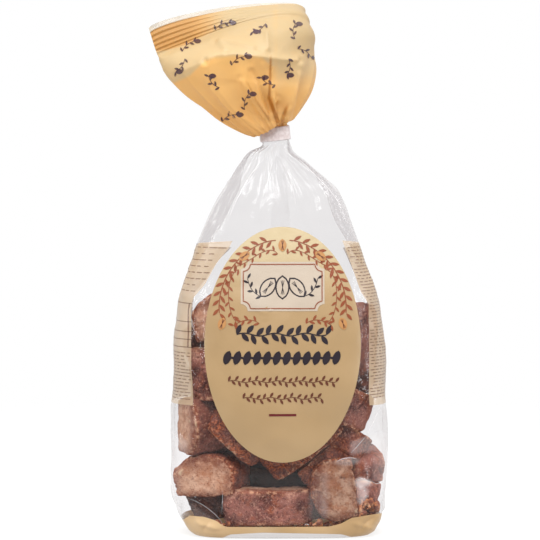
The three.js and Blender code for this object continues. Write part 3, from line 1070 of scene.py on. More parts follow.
sink_most = SINK * (1 - ramp(row_height, 120, 150)) * ramp(row_height, 2, 14)
sink_most *= 1 - 0.75 * in_label(film)
sink_most *= 1 - 0.85 * ramp(np.abs(np.cos(column_angle)), 0.7, 0.95)
sunk = np.minimum(sink_most, limit)
for step in range(SINK_STEPS):
    around = (np.roll(sunk, 1, 1) + np.roll(sunk, -1, 1)) / 2
    above = np.vstack([sunk[1:], sunk[-1:]])
    below = np.vstack([sunk[:1], sunk[:-1]])
    sunk = 0.5 * around + 0.25 * (above + below)
    sunk += SINK_RATE * (sink_most - sunk)
    sunk = np.minimum(sunk, limit)
print("film sinks from", *(round(float(end(sunk)), 2) for end in (np.min, np.max)), "mm")

# %% Creases of the film


def folded(x, y, size, turn, seed):
    """Flat facets that meet in sharp lines: a bent triangle wave across the sheet."""
    bend = soft_noise(x, y, size * 2.6, seed) * size * 0.8
    along = x * math.cos(turn) + y * math.sin(turn) + bend
    wave = np.abs(np.mod(along / size, 2) - 1) * 2 - 1
    return wave * ramp(soft_noise(x, y, size * 1.9, seed + 1), -0.1, 0.6)


def crease(points, front, path, height, width, fade=9.0):
    """A sharp-backed fold along a path of pixels, as a push in mm for each front point."""
    shown = in_picture(points)
    path = np.array(path, float)
    nearest = np.full(points.shape[:2], 1e9)
    for start, end in zip(path[:-1], path[1:]):
        run = end - start
        share = np.clip(((shown - start) @ run) / (run @ run), 0, 1)
        gap = np.linalg.norm(shown - start - share[..., None] * run, axis=-1)
        nearest = np.minimum(nearest, gap)
    ends = np.minimum(
        np.linalg.norm(shown - path[0], axis=-1), np.linalg.norm(shown - path[-1], axis=-1)
    )
    return height * np.exp(-nearest * PIXEL / width) * ramp(ends, 0, fade) * front


clear_part = 1 - 0.6 * in_label(film)
creased = np.zeros(film.shape[:2])
for size, amount, turn, seed_number in (
    (15, 0.55, 0.5, 11), (13, 0.5, 2.4, 21), (8, 0.26, 1.2, 31), (7, 0.22, 2.9, 41),
    (4.5, 0.12, 0.2, 51),
):
    creased += amount * folded(x_film, row_height, size, turn, seed_number)
creased *= clear_part * ramp(row_height, 1, 14) * (1 - 0.7 * ramp(row_height, 128, 152))
def pleated(angle, heights, bend, size, waves):
    """Sharp pleats round the sheet, each set bent by noise of its own."""
    return sum(
        share * (1 - 2 * np.abs(np.sin(
            count * angle / 2 + phase + bend[0] * soft_noise(angle * bend[1], heights, size, count)
        )))
        for count, share, phase in waves
    )


neck_folds = pleated(column_angle, row_height, (0.5, 40), 25, ((23, 0.5, 0.3), (37, 0.3, 1.1)))
creased += 0.75 * neck_folds * ramp(row_height, 150, 196) * (1 - 0.6 * ramp(row_height, 200, 204))
at_corner = ramp(np.abs(film[..., 0]), 24, 38) * ramp(row_height, 0.5, 4)
at_corner *= 1 - ramp(row_height, 11, 19)
creased += 0.9 * at_corner * folded(x_film, row_height * 1.7, 10, 1.0, 131)
# path in pixels, height and width in mm
FILM_CREASES = [
    ([(187, 498), (200, 504), (212.5, 510.5), (222, 525)], 0.9, 1.2),
    ([(200, 492), (201, 515)], 0.5, 0.9), ([(187, 519), (197, 525), (222, 530)], 1.5, 1.3),
    ([(350, 521), (362, 527), (378, 530)], 1.3, 1.2),
    ([(196, 534), (204, 526), (212, 519)], -1.1, 1.2),
    ([(358, 534), (366, 524), (380, 516)], -1.2, 1.3), ([(222, 489), (221, 527)], 0.7, 1.0),
    ([(262, 470), (290, 469), (320, 471), (345, 474)], 0.8, 1.4),
    ([(250, 497), (290, 499), (322, 492)], -0.6, 1.2),
    ([(312, 470), (316, 500), (318, 524)], -0.8, 1.6),
    ([(366, 436), (352, 452), (347, 460)], 0.9, 1.2), ([(380, 380), (375, 410), (366, 436)], 0.8, 1.2),
    ([(172, 425), (182, 446)], 0.8, 1.3), ([(346, 462), (356, 470), (362, 478)], 0.6, 1.2),
    ([(354, 478), (372, 484), (384, 480)], 0.7, 1.2), ([(336, 186), (344, 205), (350, 240)], 1.0, 2.5),
    ([(285, 150), (300, 166), (336, 186)], 0.8, 2.0), ([(272, 150), (240, 190), (222, 240)], 0.7, 2.5),
    ([(276, 150), (262, 200), (258, 226)], 0.6, 2.5), ([(281, 150), (300, 200), (318, 240)], 0.6, 2.5),
]
CORNER_DRAWN_IN = 2.4
film_front = ramp(np.sin(column_angle), 0.0, 0.2)
for path, height, width in FILM_CREASES:
    creased += crease(film, film_front, path, height, width)
inward = np.minimum(sunk - creased, np.maximum(limit, sunk))
film = film - film_out * inward[..., None]
film[..., 0] += CORNER_DRAWN_IN * (1 - ramp(row_height, 7, 20)) * ramp(-film[..., 0], 32, 48)
film_out = grid_normals(film)
print("creases from", round(float(creased.min()), 2), "to", round(float(creased.max()), 2), "mm")

# %% Milky film: whiter where it lies in two layers, and painted sheen where folds catch light
# pixels across, upper edge, lower edge, how milky
DOUBLING_AND_SHEEN_BANDS = [
    ((228, 242, 258, 285, 310, 345), (480, 476, 474, 474, 473, 476),
     (486, 488, 489, 490, 489, 486), 0.012),
    ((308, 318, 328), (494, 488, 508), (518, 524, 520), 0.06),
    ((350, 368, 386), (442, 436, 432), (455, 453, 449), 0.13),
    ((334, 346, 361), (462, 458, 459), (464, 467, 463), 0.14),
    ((170, 186, 204, 222), (498, 501, 512, 524), (506, 518, 527, 529), 0.05),
    ((355, 361, 372), (479, 477.5, 481), (487.5, 488.5, 486), 0.4),
    ((357, 361, 369), (487, 486, 489), (503, 506, 496), 0.26),
    ((372, 380, 389), (452, 450, 448), (480, 482, 480), 0.07),
    ((321, 325, 329), (474, 470, 474), (512, 517, 512), 0.07),
    ((171, 178, 188), (432, 434, 442), (446, 450, 455), 0.13),
    ((372, 379, 388), (404, 400, 397), (429, 431, 435), 0.10),
]
SHEEN_BAND_BLUR = 1.5
shown = in_picture(film)
x_seen, y_seen = shown[..., 0], shown[..., 1]
doubling_and_painted_sheen = np.zeros(film.shape[:2])
for across, upper_edge, lower_edge, amount in DOUBLING_AND_SHEEN_BANDS:
    upper = np.interp(x_seen, across, upper_edge)
    lower = np.interp(x_seen, across, lower_edge)
    inside = ramp(y_seen, upper - SHEEN_BAND_BLUR, upper + SHEEN_BAND_BLUR)
    inside *= 1 - ramp(y_seen, lower - 3.5, lower + SHEEN_BAND_BLUR)
    inside *= ramp(x_seen, across[0] - 2, across[0] + 4)
    inside *= 1 - ramp(x_seen, across[-1] - 4, across[-1] + 2)
    doubling_and_painted_sheen += inside * amount * film_front
low_edge = ramp(film[..., 0], -36, -31) * (film[..., 1] < 0) * (1 - ramp(film[..., 2], 3.4, 4.6))
# the film's bottom edge, in two layers, whitened further as painted light against the shade below it
doubling_and_painted_sheen += 0.85 * low_edge
doubling_and_painted_sheen += 0.04 * ramp(row_height, 138, 166)
print("veil at most", round(float(doubling_and_painted_sheen.max()), 2))

# %% Film material
FILM_CLEAR = (0.900, 0.892, 0.895, 1)
SEAM_CLEAR = (0.988, 0.986, 0.988, 1)


def film_material(name, haze, tint, rough=0.14, clear_colour=FILM_CLEAR):
    """Thin clear film: seen through face on, and milky and mirroring at a slant."""
    material, tree, shader, output, where = new_material(name, tint)
    facing = add(tree, "ShaderNodeLayerWeight", {"Blend": 0.5}).outputs["Facing"]
    mirror = plus(tree, 0.022, times(tree, 0.5, calc(tree, "POWER", facing, 4.5)))
    milky = plus(tree, haze, times(tree, 0.26, calc(tree, "POWER", facing, 2.5)))
    smears = rescale(tree, noise(tree, where, 0.012, 3.0), 0.52, 0.72, 0.0, haze * 2.5)
    milky = plus(tree, milky, smears)
    # plus the two-layer milkiness and painted sheen that each point carries
    milky = calc(tree, "ADD", milky, mark(tree, "doubling_and_painted_sheen"), clamp=True)
    clear = add(tree, "ShaderNodeBsdfTransparent", {"Color": clear_colour})
    fine = relief(tree, noise(tree, where, 0.006, 2.0), 0.35, 0.0012)
    feeds = {"Color": (1, 1, 1, 1), "Roughness": rough, "Normal": fine}
    shine = add(tree, "ShaderNodeBsdfAnisotropic", feeds)
    scatter = add(tree, "ShaderNodeBsdfDiffuse", {"Color": tint})
    body = add(tree, "ShaderNodeMixShader", {0: milky, 1: clear.outputs[0], 2: scatter.outputs[0]})
    whole = add(tree, "ShaderNodeMixShader", {0: mirror, 1: body.outputs[0], 2: shine.outputs[0]})
    tree.links.new(whole.outputs[0], output.inputs["Surface"])
    tree.nodes.remove(shader)
    return material


def half_clear(name, colour, solid):
    """Half-clear print, or whitish film that paints a glint, with what lies behind it showing faintly
    through.
    """
    material, tree, shader, output, where = new_material(name, colour)
    shader.inputs["Roughness"].default_value = 0.3
    clear = add(tree, "ShaderNodeBsdfTransparent", {"Color": (0.99, 0.98, 0.96, 1)})
    cloud = rescale(tree, noise(tree, where, 0.02, 2.0), 0.3, 0.7, solid - 0.06, solid + 0.06)
    both = add(tree, "ShaderNodeMixShader", {0: cloud, 1: clear.outputs[0], 2: shader.outputs[0]})
    tree.links.new(both.outputs[0], output.inputs["Surface"])
    return material


film_finish = film_material("film_finish", 0.003, (0.83, 0.80, 0.79, 1))
# whitish strips that paint the glints along sharp creases
glint_finish = half_clear("glint_finish", ink(236, 232, 234), 0.42)

# %% The film's mesh, with its folded underside
UNDER_SHARES = (0.02, 0.3, 0.62, 0.86, 0.96)
UNDER_HEIGHT = 0.25
under_centre = film[0].mean(axis=0)
under = np.stack([under_centre + (film[0] - under_centre) * share for share in UNDER_SHARES])
under[..., 2] = UNDER_HEIGHT
film_all = np.concatenate([under, film])
film_faces = [list(face) for face in grid_faces(len(film_all), FILM_COLUMNS)]
film_faces.append(list(range(FILM_COLUMNS))[::-1])
film_doubling_and_painted_sheen = np.concatenate([np.repeat(doubling_and_painted_sheen[:1], len(UNDER_SHARES), axis=0), doubling_and_painted_sheen])
clear_film = make_piece("clear_film", film_all, film_faces, film_finish, numbers={"doubling_and_painted_sheen": film_doubling_and_painted_sheen})
film_tree = BVHTree.FromPolygons(
    [Vector(p) for p in film.reshape(-1, 3)], grid_faces(len(film_rows), FILM_COLUMNS).tolist()
)


def on_film(height, angle, lift):
    """Points of the finished film at heights and angles, lifted off it."""
    r = np.interp(height, film_rows, np.arange(len(film_rows)))
    c = np.mod(angle, TAU) / TAU * FILM_COLUMNS
    r0 = np.clip(np.floor(r).astype(int), 0, len(film_rows) - 2)
    c0 = np.floor(c).astype(int)
    fr, fc = (r - r0)[..., None], (c - c0)[..., None]
    c0, c1 = c0 % FILM_COLUMNS, (c0 + 1) % FILM_COLUMNS

    def blended(grid):
        low = grid[r0, c0] * (1 - fc) + grid[r0, c1] * fc
        high = grid[r0 + 1, c0] * (1 - fc) + grid[r0 + 1, c1] * fc
        return low * (1 - fr) + high * fr

    return blended(film) + unit(blended(film_out)) * lift


# %% [markdown]
# ## Sharp creases, with painted glints
# Where the film is folded hard, a glint runs along a line thinner than the sheet's own grid. It is
# painted: a thin tapering strip of whitish half-clear film, laid on the film where the photo
# shows it.

# %% Painted glint lines
# path in pixels, width in mm
GLINT_LINES = [
    ([(187, 498), (200, 504), (212.5, 510.5), (220, 520.5), (222.5, 525)], 0.42),
    ([(222, 489), (222.5, 500), (221.5, 514)], 0.3), ([(380.7, 402), (375, 418), (366, 436)], 0.7),
    ([(366, 436), (358, 445), (350.7, 453)], 0.6), ([(336, 462), (346, 458), (357, 459)], 0.8),
    ([(371.8, 481.7), (378, 483.5), (384, 480.6)], 0.55), ([(358, 477), (365, 480), (371, 483)], 0.5),
    ([(173, 430), (177, 437), (181, 445)], 0.6), ([(172, 470), (174, 490), (180, 508)], 0.4),
    ([(300, 160), (318, 178), (334, 196), (343, 215)], 0.5),
    ([(262, 160), (244, 186), (230, 216)], 0.45), ([(284, 158), (292, 185), (296, 206)], 0.4),
    ([(274, 156), (268, 180), (262, 200)], 0.35),
]
LINE_SHARE = 0.62
LINE_LIFT = 0.18
LINE_TIP = 0.12
FEWEST_STATIONS = 6


def on_surface(tree, spots, lift):
    """Points of a surface that show at pixels, lifted off it towards the camera."""
    points = []
    for px, py in spots:
        hit = tree.ray_cast(Vector(EYE), Vector(sight(px, py)).normalized())
        points.append(hit[0] + (hit[1] if hit[1].y < 0 else -hit[1]) * lift)
    return points


def curve_through(*points, count=40):
    """A smooth path through a few points of two numbers."""
    points = np.array(points, float)
    at = np.linspace(0, 1, len(points))
    fine = np.linspace(0, 1, count)
    fits = [np.polyfit(at, points[:, k], min(3, len(points) - 1)) for k in (0, 1)]
    return np.stack([np.polyval(fit, fine) for fit in fits], axis=1)


def run_along(path):
    """How far along a path each of its points lies."""
    return np.concatenate([[0], np.cumsum(np.linalg.norm(np.diff(path, axis=0), axis=1))])


def ribbon(path, count, half_width):
    """A flat strip along a path, as pairs of points across it."""
    run = run_along(path)
    stations = np.linspace(0, run[-1], count)
    line = np.stack([np.interp(stations, run, path[:, k]) for k in (0, 1)], axis=1)
    along = unit(np.gradient(line, axis=0))
    aside = np.stack([-along[:, 1], along[:, 0]], axis=1) * half_width
    return np.stack([line - aside, line + aside], axis=1).reshape(-1, 2)


line_points, line_faces = [], []
for path, width in GLINT_LINES:
    path = curve_through(*path)
    count = max(FEWEST_STATIONS, int(run_along(path)[-1]))
    taper = np.sin(np.linspace(LINE_TIP, math.pi - LINE_TIP, count))[:, None]
    spots = ribbon(path, count, (width * LINE_SHARE / PIXEL / 2) * taper)
    first = len(line_points)
    line_points += on_surface(film_tree, spots, LINE_LIFT)
    line_faces += [[first + 2 * i + k for k in (0, 1, 3, 2)] for i in range(count - 1)]
film_glints = make_piece("film_glints", line_points, line_faces, glint_finish)

# %% [markdown]
# ## Printed front label
# The oval label is printed on the film itself, so it takes every fold of it. A flat disc of
# small faces is pressed straight back onto the film. Its ornament is a plain pattern of almonds
# and leaves in warm and dark inks.

# %% Printed film material
def print_material(name, colour, rough=0.3, warm=None, through=0.0, top_tint_and_sheen=None):
    """Ink on film: a satin skin over a slightly uneven colour. Some light may come through, and
    a lighter colour may take over between two heights: partly the print's own tint, partly painted
    sheen where the top is lit."""
    material, tree, shader, output, where = new_material(name, colour)
    uneven = rescale(tree, noise(tree, where, 0.03, 2.0), 0.3, 0.7)
    toned = mixed(tree, uneven, colour, warm or (*(c * 0.93 for c in colour[:3]), 1))
    if top_tint_and_sheen:
        second, low, high = top_tint_and_sheen
        toned = mixed(tree, rescale(tree, xyz(tree, where)[2], low, high), toned, second)
    tree.links.new(toned, shader.inputs["Base Color"])
    shader.inputs["Roughness"].default_value = rough
    shader.inputs["Specular IOR Level"].default_value = 0.5
    fine = relief(tree, noise(tree, where, 0.004, 3.0), 0.15, 0.0008)
    tree.links.new(fine, shader.inputs["Normal"])
    if through:
        lit_through(tree, output, shader, toned, through)
    return material


# the label's print turns lighter towards its top: partly its own tint, partly painted sheen where the
# top faces the light
label_finish = print_material(
    "label_finish", ink(164, 136, 98), 0.32, ink(157, 129, 91),
    top_tint_and_sheen=(ink(184, 166, 131), 0.120, 0.156),
)
dark_ink = print_material("dark_ink", ink(30, 19, 28), 0.35)
brown_ink = print_material("brown_ink", ink(92, 46, 28), 0.35)
red_ink = print_material("red_ink", ink(92, 14, 20), 0.35)
rust_ink = print_material("rust_ink", ink(132, 66, 36), 0.35)
plaque_ink = print_material("plaque_ink", ink(180, 165, 148), 0.32)
almond_ink = print_material("almond_ink", ink(176, 126, 76), 0.35)


def pressed(points, tree, lift, side=-1):
    """Presses points that hold x and z onto a surface, from the front or the back."""
    out = []
    for x, z in points:
        hit = tree.ray_cast(Vector((x, side * 90, z)), Vector((0, -side, 0)))
        if hit[0] is None:
            out.append((x, 0.0, z))
            continue
        normal = hit[1] if hit[1][1] * side > 0 else -hit[1]
        out.append(hit[0] + normal * lift)
    return np.array(out, float)


LABEL_LIFT = 0.14
LABEL_CELLS = (95, 135)
u, w = np.meshgrid(*(np.linspace(-1, 1, count) for count in LABEL_CELLS))
disc = np.stack([
    LABEL_CENTRE[0] + LABEL_HALF[0] * u * np.sqrt(1 - w**2 / 2),
    LABEL_CENTRE[1] + LABEL_HALF[1] * w * np.sqrt(1 - u**2 / 2),
], axis=-1).reshape(-1, 2)
label_faces = grid_faces(*LABEL_CELLS[::-1], closed=False)
label = make_piece("label", pressed(disc, film_tree, LABEL_LIFT), label_faces, label_finish)

# %% [markdown]
# ## Printed ornament
# Leaves and almonds are printed in rows and along curves on the label, and strewn over the
# top. One small tree makes them all: it sets a flat leaf again and again along a path, with
# its length, width, lean and whether every other one leans the other way. The flat result is
# then pressed onto the film.

# %% Tree for leaves along a path
leaf_tree, sizes = new_tree("leaves_along", [
    ("Path", "Geometry", None), ("Count", "Int", 8), ("Leaf Length", "Float", 0.005),
    ("Leaf Width", "Float", 0.002), ("Lean", "Float", 0.9), ("Alternate", "Float", 1.0),
    ("Blunt", "Float", 0.8), ("Set Out", "Float", 0.0), ("Ink", "Material", None),
])
tree = leaf_tree
flat = {"Size X": 1.0, "Size Y": 2.0, "Vertices X": 9, "Vertices Y": 5}
leaf = add(tree, "GeometryNodeMeshGrid", flat).outputs["Mesh"]
parts = xyz(tree, place_of(tree))
along = plus(tree, parts[0], 0.5)
belly = calc(tree, "MAXIMUM", calc(tree, "SINE", times(tree, along, math.pi)), 0.0001)
belly = calc(tree, "POWER", belly, sizes["Blunt"])
leaf_along = plus(tree, times(tree, along, sizes["Leaf Length"]), sizes["Set Out"])
leaf_across = times(tree, times(tree, parts[1], belly), times(tree, sizes["Leaf Width"], 0.5))
leaf_shape = add(tree, "ShaderNodeCombineXYZ", {0: leaf_along, 1: leaf_across}).outputs[0]
leaf = add(tree, "GeometryNodeSetPosition", {"Geometry": leaf, "Position": leaf_shape}).outputs[0]
curve = add(tree, "GeometryNodeMeshToCurve", {"Mesh": sizes["Path"]}).outputs[0]
feeds = {"Curve": curve, "Count": sizes["Count"]}
stations = add(tree, "GeometryNodeResampleCurve", feeds, mode="COUNT").outputs[0]
tangent = xyz(tree, add(tree, "GeometryNodeInputTangent").outputs[0])
heading = calc(tree, "ARCTAN2", tangent[1], tangent[0])
number = add(tree, "GeometryNodeInputIndex").outputs[0]
odd = times(tree, calc(tree, "MODULO", number, 2.0), sizes["Alternate"])
side = minus(tree, 1.0, times(tree, odd, 2.0))
turned = plus(tree, heading, times(tree, sizes["Lean"], side))
turn = add(tree, "ShaderNodeCombineXYZ", {2: turned}).outputs[0]
feeds = {"Points": stations, "Instance": leaf, "Rotation": turn}
end_tree(tree, add(tree, "GeometryNodeInstanceOnPoints", feeds).outputs[0], sizes["Ink"])


def leaves_on(path, count, length, width, lean=0.9, alternate=1.0, blunt=0.8, set_out=0.0):
    """Flat leaves in mm along a path of x and z."""
    start = bpy.data.meshes.new("path")
    steps = [(i, i + 1) for i in range(len(path) - 1)]
    start.from_pydata([(x * MM, z * MM, 0) for x, z in path], steps, [])
    mesh = made_by(
        leaf_tree, start, Count=count, Lean=lean, Alternate=alternate, Blunt=blunt,
        **{"Leaf Length": length * MM, "Leaf Width": width * MM, "Set Out": set_out * MM},
    )
    points, faces, _ = mesh_arrays(mesh)
    bpy.data.meshes.remove(mesh)
    return points[:, :2], faces


def stroke(path, width, step=0.7):
    """A flat line of a width in mm along a path of x and z."""
    path = np.array(path, float)
    count = max(2, int(run_along(path)[-1] / step) + 1)
    faces = [[2 * i, 2 * i + 2, 2 * i + 3, 2 * i + 1] for i in range(count - 1)]
    return ribbon(path, count, width / 2), faces


def together(shapes):
    """Joins flat shapes."""
    points, faces, count = [], [], 0
    for own, own_faces in shapes:
        points.append(own)
        faces += [[v + count for v in face] for face in own_faces]
        count += len(own)
    return np.concatenate(points), faces

# %% [markdown]
# ## Ornament of the label
# From the top down: two almond branches over a pale notched plaque, two rows of dark almonds,
# two garlands of small brown leaves and a short red rule. Rows and colours follow the photo's
# print in size and weight, but every motif is a plain one of this scene's own.

# %% Label ornament
PLAQUE_CENTRE = (1.8, 130.6)
PLAQUE_HALF = (21.5, 12.5)
NOTCH = 3.6
ORNAMENT_LIFT = 0.3


def plaque_outline(shrink):
    """The notched outline of the plaque, drawn in by some mm."""
    w, h = PLAQUE_HALF[0] - shrink, PLAQUE_HALF[1] - shrink
    outline = []
    for sx, sz, start in ((1, 1, 270), (-1, 1, 0), (-1, -1, 90), (1, -1, 180)):
        x, z = PLAQUE_CENTRE[0] + sx * w, PLAQUE_CENTRE[1] + sz * h
        arc = np.radians(np.linspace(start, start - 90, 9))
        outline += [(x + NOTCH * math.cos(a), z + NOTCH * math.sin(a)) for a in arc]
    return outline


def printed(name, shapes, finish, lift=ORNAMENT_LIFT):
    """A piece of print from flat shapes, pressed onto the front of the film."""
    points, faces = together(shapes)
    return make_piece(name, pressed(points, film_tree, lift), faces, finish)


outline = plaque_outline(0)
plaque_edge = np.array([
    point for start, end in zip(outline, outline[1:] + outline[:1])
    for point in np.linspace(start, end, 12 if math.dist(start, end) > 3 else 2)[:-1]
])
PLAQUE_RINGS = 16
rings = np.linspace(0.02, 1, PLAQUE_RINGS)[:, None, None]
plaque_points = (np.array(PLAQUE_CENTRE) + (plaque_edge - PLAQUE_CENTRE) * rings).reshape(-1, 2)
plaque_faces = [face[::-1] for face in grid_faces(PLAQUE_RINGS, len(plaque_edge)).tolist()]
plaque_faces.append(list(range(len(plaque_edge))))
plaque = printed("plaque", [(plaque_points, plaque_faces)], plaque_ink, 0.26)


def line_across(x, z, turn, reach, width):
    """A straight line of twice the reach, centred at x and z."""
    dx, dz = reach * math.cos(turn), reach * math.sin(turn)
    return stroke([(x - dx, z - dz), (x + dx, z + dz)], width)


def kernel_at(x, z, turn, length, width, **shape):
    """One almond, centred at x and z."""
    spot = [(x - 0.1, z), (x + 0.1, z)]
    return leaves_on(spot, 1, length, width, lean=turn, alternate=0, **shape)


def twig_pair(points, count, stem, leaves, bare=0, **shape):
    """A twig with leaves beyond its bare start, and its mirror image about the label's middle."""
    shapes = []
    for side in (-1, 1):
        branch = curve_through(*((LABEL_CENTRE[0] + side * x, z) for x, z in points), count=count)
        shapes += [stroke(branch, stem), leaves_on(branch[bare:], *leaves, **shape)]
    return shapes


LONG_TWIG = [(3.5, 154), (17, 149), (28.5, 136), (32.5, 117)]
SHORT_TWIGS = [
    ([(22.5, 139), (27, 133), (27.5, 122), (24, 113)], 24, 0.35, (12, 3.2, 1.1)),
    ([(2.5, 147), (9, 148.5), (17, 144), (23.5, 141)], 24, 0.35, (11, 3.0, 1.1)),
    ([(12, 111.8), (18, 113.6), (25, 110.8)], 20, 0.35, (8, 3.2, 1.2)),
]
rust_shapes = twig_pair(LONG_TWIG, 40, 0.5, (23, 4.6, 1.6), 2, lean=0.72, blunt=0.9, set_out=0.3)
for twig in SHORT_TWIGS:
    rust_shapes += twig_pair(*twig, lean=0.8)
label_rust = printed("label_rust", rust_shapes, rust_ink)
kernel_spots = [
    (LABEL_CENTRE[0] + side * x, z, turn if side > 0 else math.pi - turn)
    for x, z, turn in ((0.0, 151.5, 1.57), (19.5, 146, 2.5), (31.0, 111.5, 1.9))
    for side in (-1, 1) if x or side > 0
]
kernel_shapes = [kernel_at(*spot, 6.6, 4.2, blunt=0.62, set_out=-3.3) for spot in kernel_spots]
label_kernels = printed("label_kernels", kernel_shapes, almond_ink, 0.34)
kernel_lines = [
    line_across(x, z, turn + aside, 2.4, 0.25)
    for x, z, turn in kernel_spots for aside in (-0.25, 0, 0.25)
]
label_kernel_lines = printed("label_kernel_lines", kernel_lines, brown_ink, 0.38)

dark_almonds, pale_almonds, almond_lines, twigs = [], [], [], []
for dx, turn in ((-7.5, 0.9), (0, 1.57), (7.5, 2.24)):
    x, z = PLAQUE_CENTRE[0] + dx, PLAQUE_CENTRE[1] - 0.5
    dark_almonds.append(kernel_at(x, z, turn, 12.5, 7.4, blunt=0.6, set_out=-6.2))
    pale_almonds.append(kernel_at(x, z, turn, 10.6, 5.9, blunt=0.6, set_out=-5.3))
    almond_lines += [line_across(x, z, turn + aside, 3.6, 0.32) for aside in (-0.22, 0.0, 0.22)]
for side in (-1, 1):
    spots = [
        (PLAQUE_CENTRE[0] + side * x, PLAQUE_CENTRE[1] + z) for x, z in ((11, -5), (15.5, -2), (18, 4))
    ]
    twig = curve_through(*spots, count=16)
    twigs += [stroke(twig, 0.35), leaves_on(twig, 6, 3.2, 1.2, lean=0.8)]
border = plaque_outline(1.3)
plaque_border = printed("plaque_border", [stroke(border + border[:1], 0.5, 0.5)], rust_ink, 0.42)


def bold_garland(middle, leaf, width, count):
    """A row of dark leaves on a stem."""
    along = np.linspace(0, 1, 60)
    x = middle[0] + width * (along - 0.5)
    z = middle[1] + 0.7 * np.sin(along * width * 0.4)
    stem = np.stack([x, z], axis=1)
    return [stroke(stem, 0.6), leaves_on(stem, count, leaf, leaf * 0.46, lean=0.95, blunt=0.8)]


def dark_row(middle, height, width, count):
    """A row of upright almonds with a small dot between each two."""
    x0, x1 = middle[0] - width / 2, middle[0] + width / 2
    z = middle[1]
    gap = width / (count - 1) / 2
    almonds = leaves_on(
        [(x0, z), (x1, z)], count, height, height * 0.52,
        lean=1.25, alternate=0, blunt=0.6, set_out=-height / 2,
    )
    dots = leaves_on(
        [(x0 + gap, z), (x1 - gap, z)], count - 1, 1.5, 1.5,
        lean=0.78, alternate=0, blunt=0.9, set_out=-0.75,
    )
    return [almonds, dots]


row_one = bold_garland((1.2, 106.2), 5.6, 46, 19)
row_two = dark_row((1.4, 94.2), 7.6, 56, 12)
label_dark = printed("label_dark", dark_almonds + twigs[:1] + row_one + row_two, dark_ink)
plaque_pale = printed("plaque_pale", pale_almonds, plaque_ink, 0.34)
plaque_lines = printed("plaque_lines", almond_lines + twigs[1:], dark_ink, 0.38)
brown_shapes = []
for z, width, count in ((82.2, 55, 33), (73.6, 40, 24)):
    wave = np.linspace(0, 1, 60)
    stem = np.stack([1.4 - width / 2 + width * wave, z + 0.5 * np.sin(wave * width * 0.55)], axis=1)
    leaves = leaves_on(stem, count, 3.0, 1.3, lean=0.95, blunt=0.9, set_out=0.1)
    brown_shapes += [stroke(stem, 0.32), leaves]
label_brown = printed("label_brown", brown_shapes, brown_ink)
label_rule = printed("label_rule", [stroke([(-5.2, 65.0), (8.8, 65.0)], 1.15)], red_ink)
label_pieces = [
    label, plaque, plaque_border, label_rust, label_kernels, label_kernel_lines, label_dark,
    plaque_pale, plaque_lines, label_brown, label_rule,
]

# %% [markdown]
# ## Printed sides and base
# The folded sides carry two half-clear cream panels with fine brown rules, and the bottom
# edge is printed cream all round. Each is a strip of the film's own grid, lifted by a hair, so
# it turns the corners with the film. Short dashes in even lines give the panels their grain.

# %% Side panels
PANEL_HEIGHTS = (69.0, 153.6)
LEFT_EDGE = (
    [69, 99, 118, 124.5, 132, 142, 150.6, 153.6],
    [-45, -46.2, -46.8, -45.2, -38.5, -32.4, -25.5, -24],
)
RIGHT_EDGE = ([69, 121, 127.6, 141, 153.6], [47.6, 47.2, 43.0, 37.4, 32.4])
PANEL_COLUMNS = 44
PANEL_DROP = 6.0
PANEL_LIFT = 0.12
RULE_LIFT = 0.2
RING_STEPS = 721
half_ring = np.linspace(0.02, math.pi - 0.02, RING_STEPS)


def angle_at(x, height):
    """The ring angle at which the front of the film is at x."""
    across = np.maximum.accumulate(film_form(height, half_ring)[:, 0])
    return float(np.interp(x, across, half_ring))


panel_rows = np.linspace(*PANEL_HEIGHTS, 96)
side_finish = half_clear("side_finish", ink(192, 168, 138), 0.60)
side_pieces, panel_edges = [], {}
for side_name, edge_table, sign in (("left", LEFT_EDGE, 1), ("right", RIGHT_EDGE, -1)):
    start = np.array([angle_at(np.interp(z, *edge_table), z) for z in panel_rows])
    middle = 0.0 if sign > 0 else math.pi
    end = 2 * middle - start
    t = np.linspace(0, 1, PANEL_COLUMNS)[None, :]
    angles = start[:, None] * (1 - t) + end[:, None] * t
    up_panel = (panel_rows - PANEL_HEIGHTS[0]) / (PANEL_HEIGHTS[1] - PANEL_HEIGHTS[0])
    panel_at = panel_rows[:, None] - PANEL_DROP * up_panel[:, None] ** 8 * t
    points = on_film(panel_at, angles, PANEL_LIFT)
    faces = grid_faces(len(panel_rows), PANEL_COLUMNS, closed=False)
    if sign > 0:
        faces = faces[:, ::-1]
    side_pieces.append(make_piece(f"side_print_{side_name}", points, faces, side_finish))
    panel_edges[side_name] = (start, end)

# %% Rules on the side panels
dash_tree, sizes = new_tree("dashes_in_lines", [
    ("Width", "Float", 0.03), ("Height", "Float", 0.08), ("Lines", "Int", 40),
    ("Dashes", "Int", 8), ("Thickness", "Float", 0.0005), ("Seed", "Int", 1),
])
tree = dash_tree
feeds = {"Size X": sizes["Width"], "Size Y": sizes["Height"]}
feeds |= {"Vertices X": sizes["Dashes"], "Vertices Y": sizes["Lines"]}
spots = add(tree, "GeometryNodeMeshGrid", feeds).outputs["Mesh"]
pitch = calc(tree, "DIVIDE", sizes["Width"], sizes["Dashes"])
feeds = {"W": times(tree, xyz(tree, place_of(tree))[1], 977.0)}
stagger = add(tree, "ShaderNodeTexWhiteNoise", feeds, noise_dimensions="1D").outputs[0]
stagger = times(tree, minus(tree, stagger, 0.5), times(tree, pitch, 1.4))
aside = add(tree, "ShaderNodeCombineXYZ", {0: stagger}).outputs[0]
spots = add(tree, "GeometryNodeSetPosition", {"Geometry": spots, "Offset": aside}).outputs[0]
feeds = {2: 0.5, 3: 1.1, "Seed": sizes["Seed"]}
length = add(tree, "FunctionNodeRandomValue", feeds, data_type="FLOAT").outputs[1]
flat = {"Size X": 1.0, "Size Y": 1.0, "Vertices X": 5, "Vertices Y": 2}
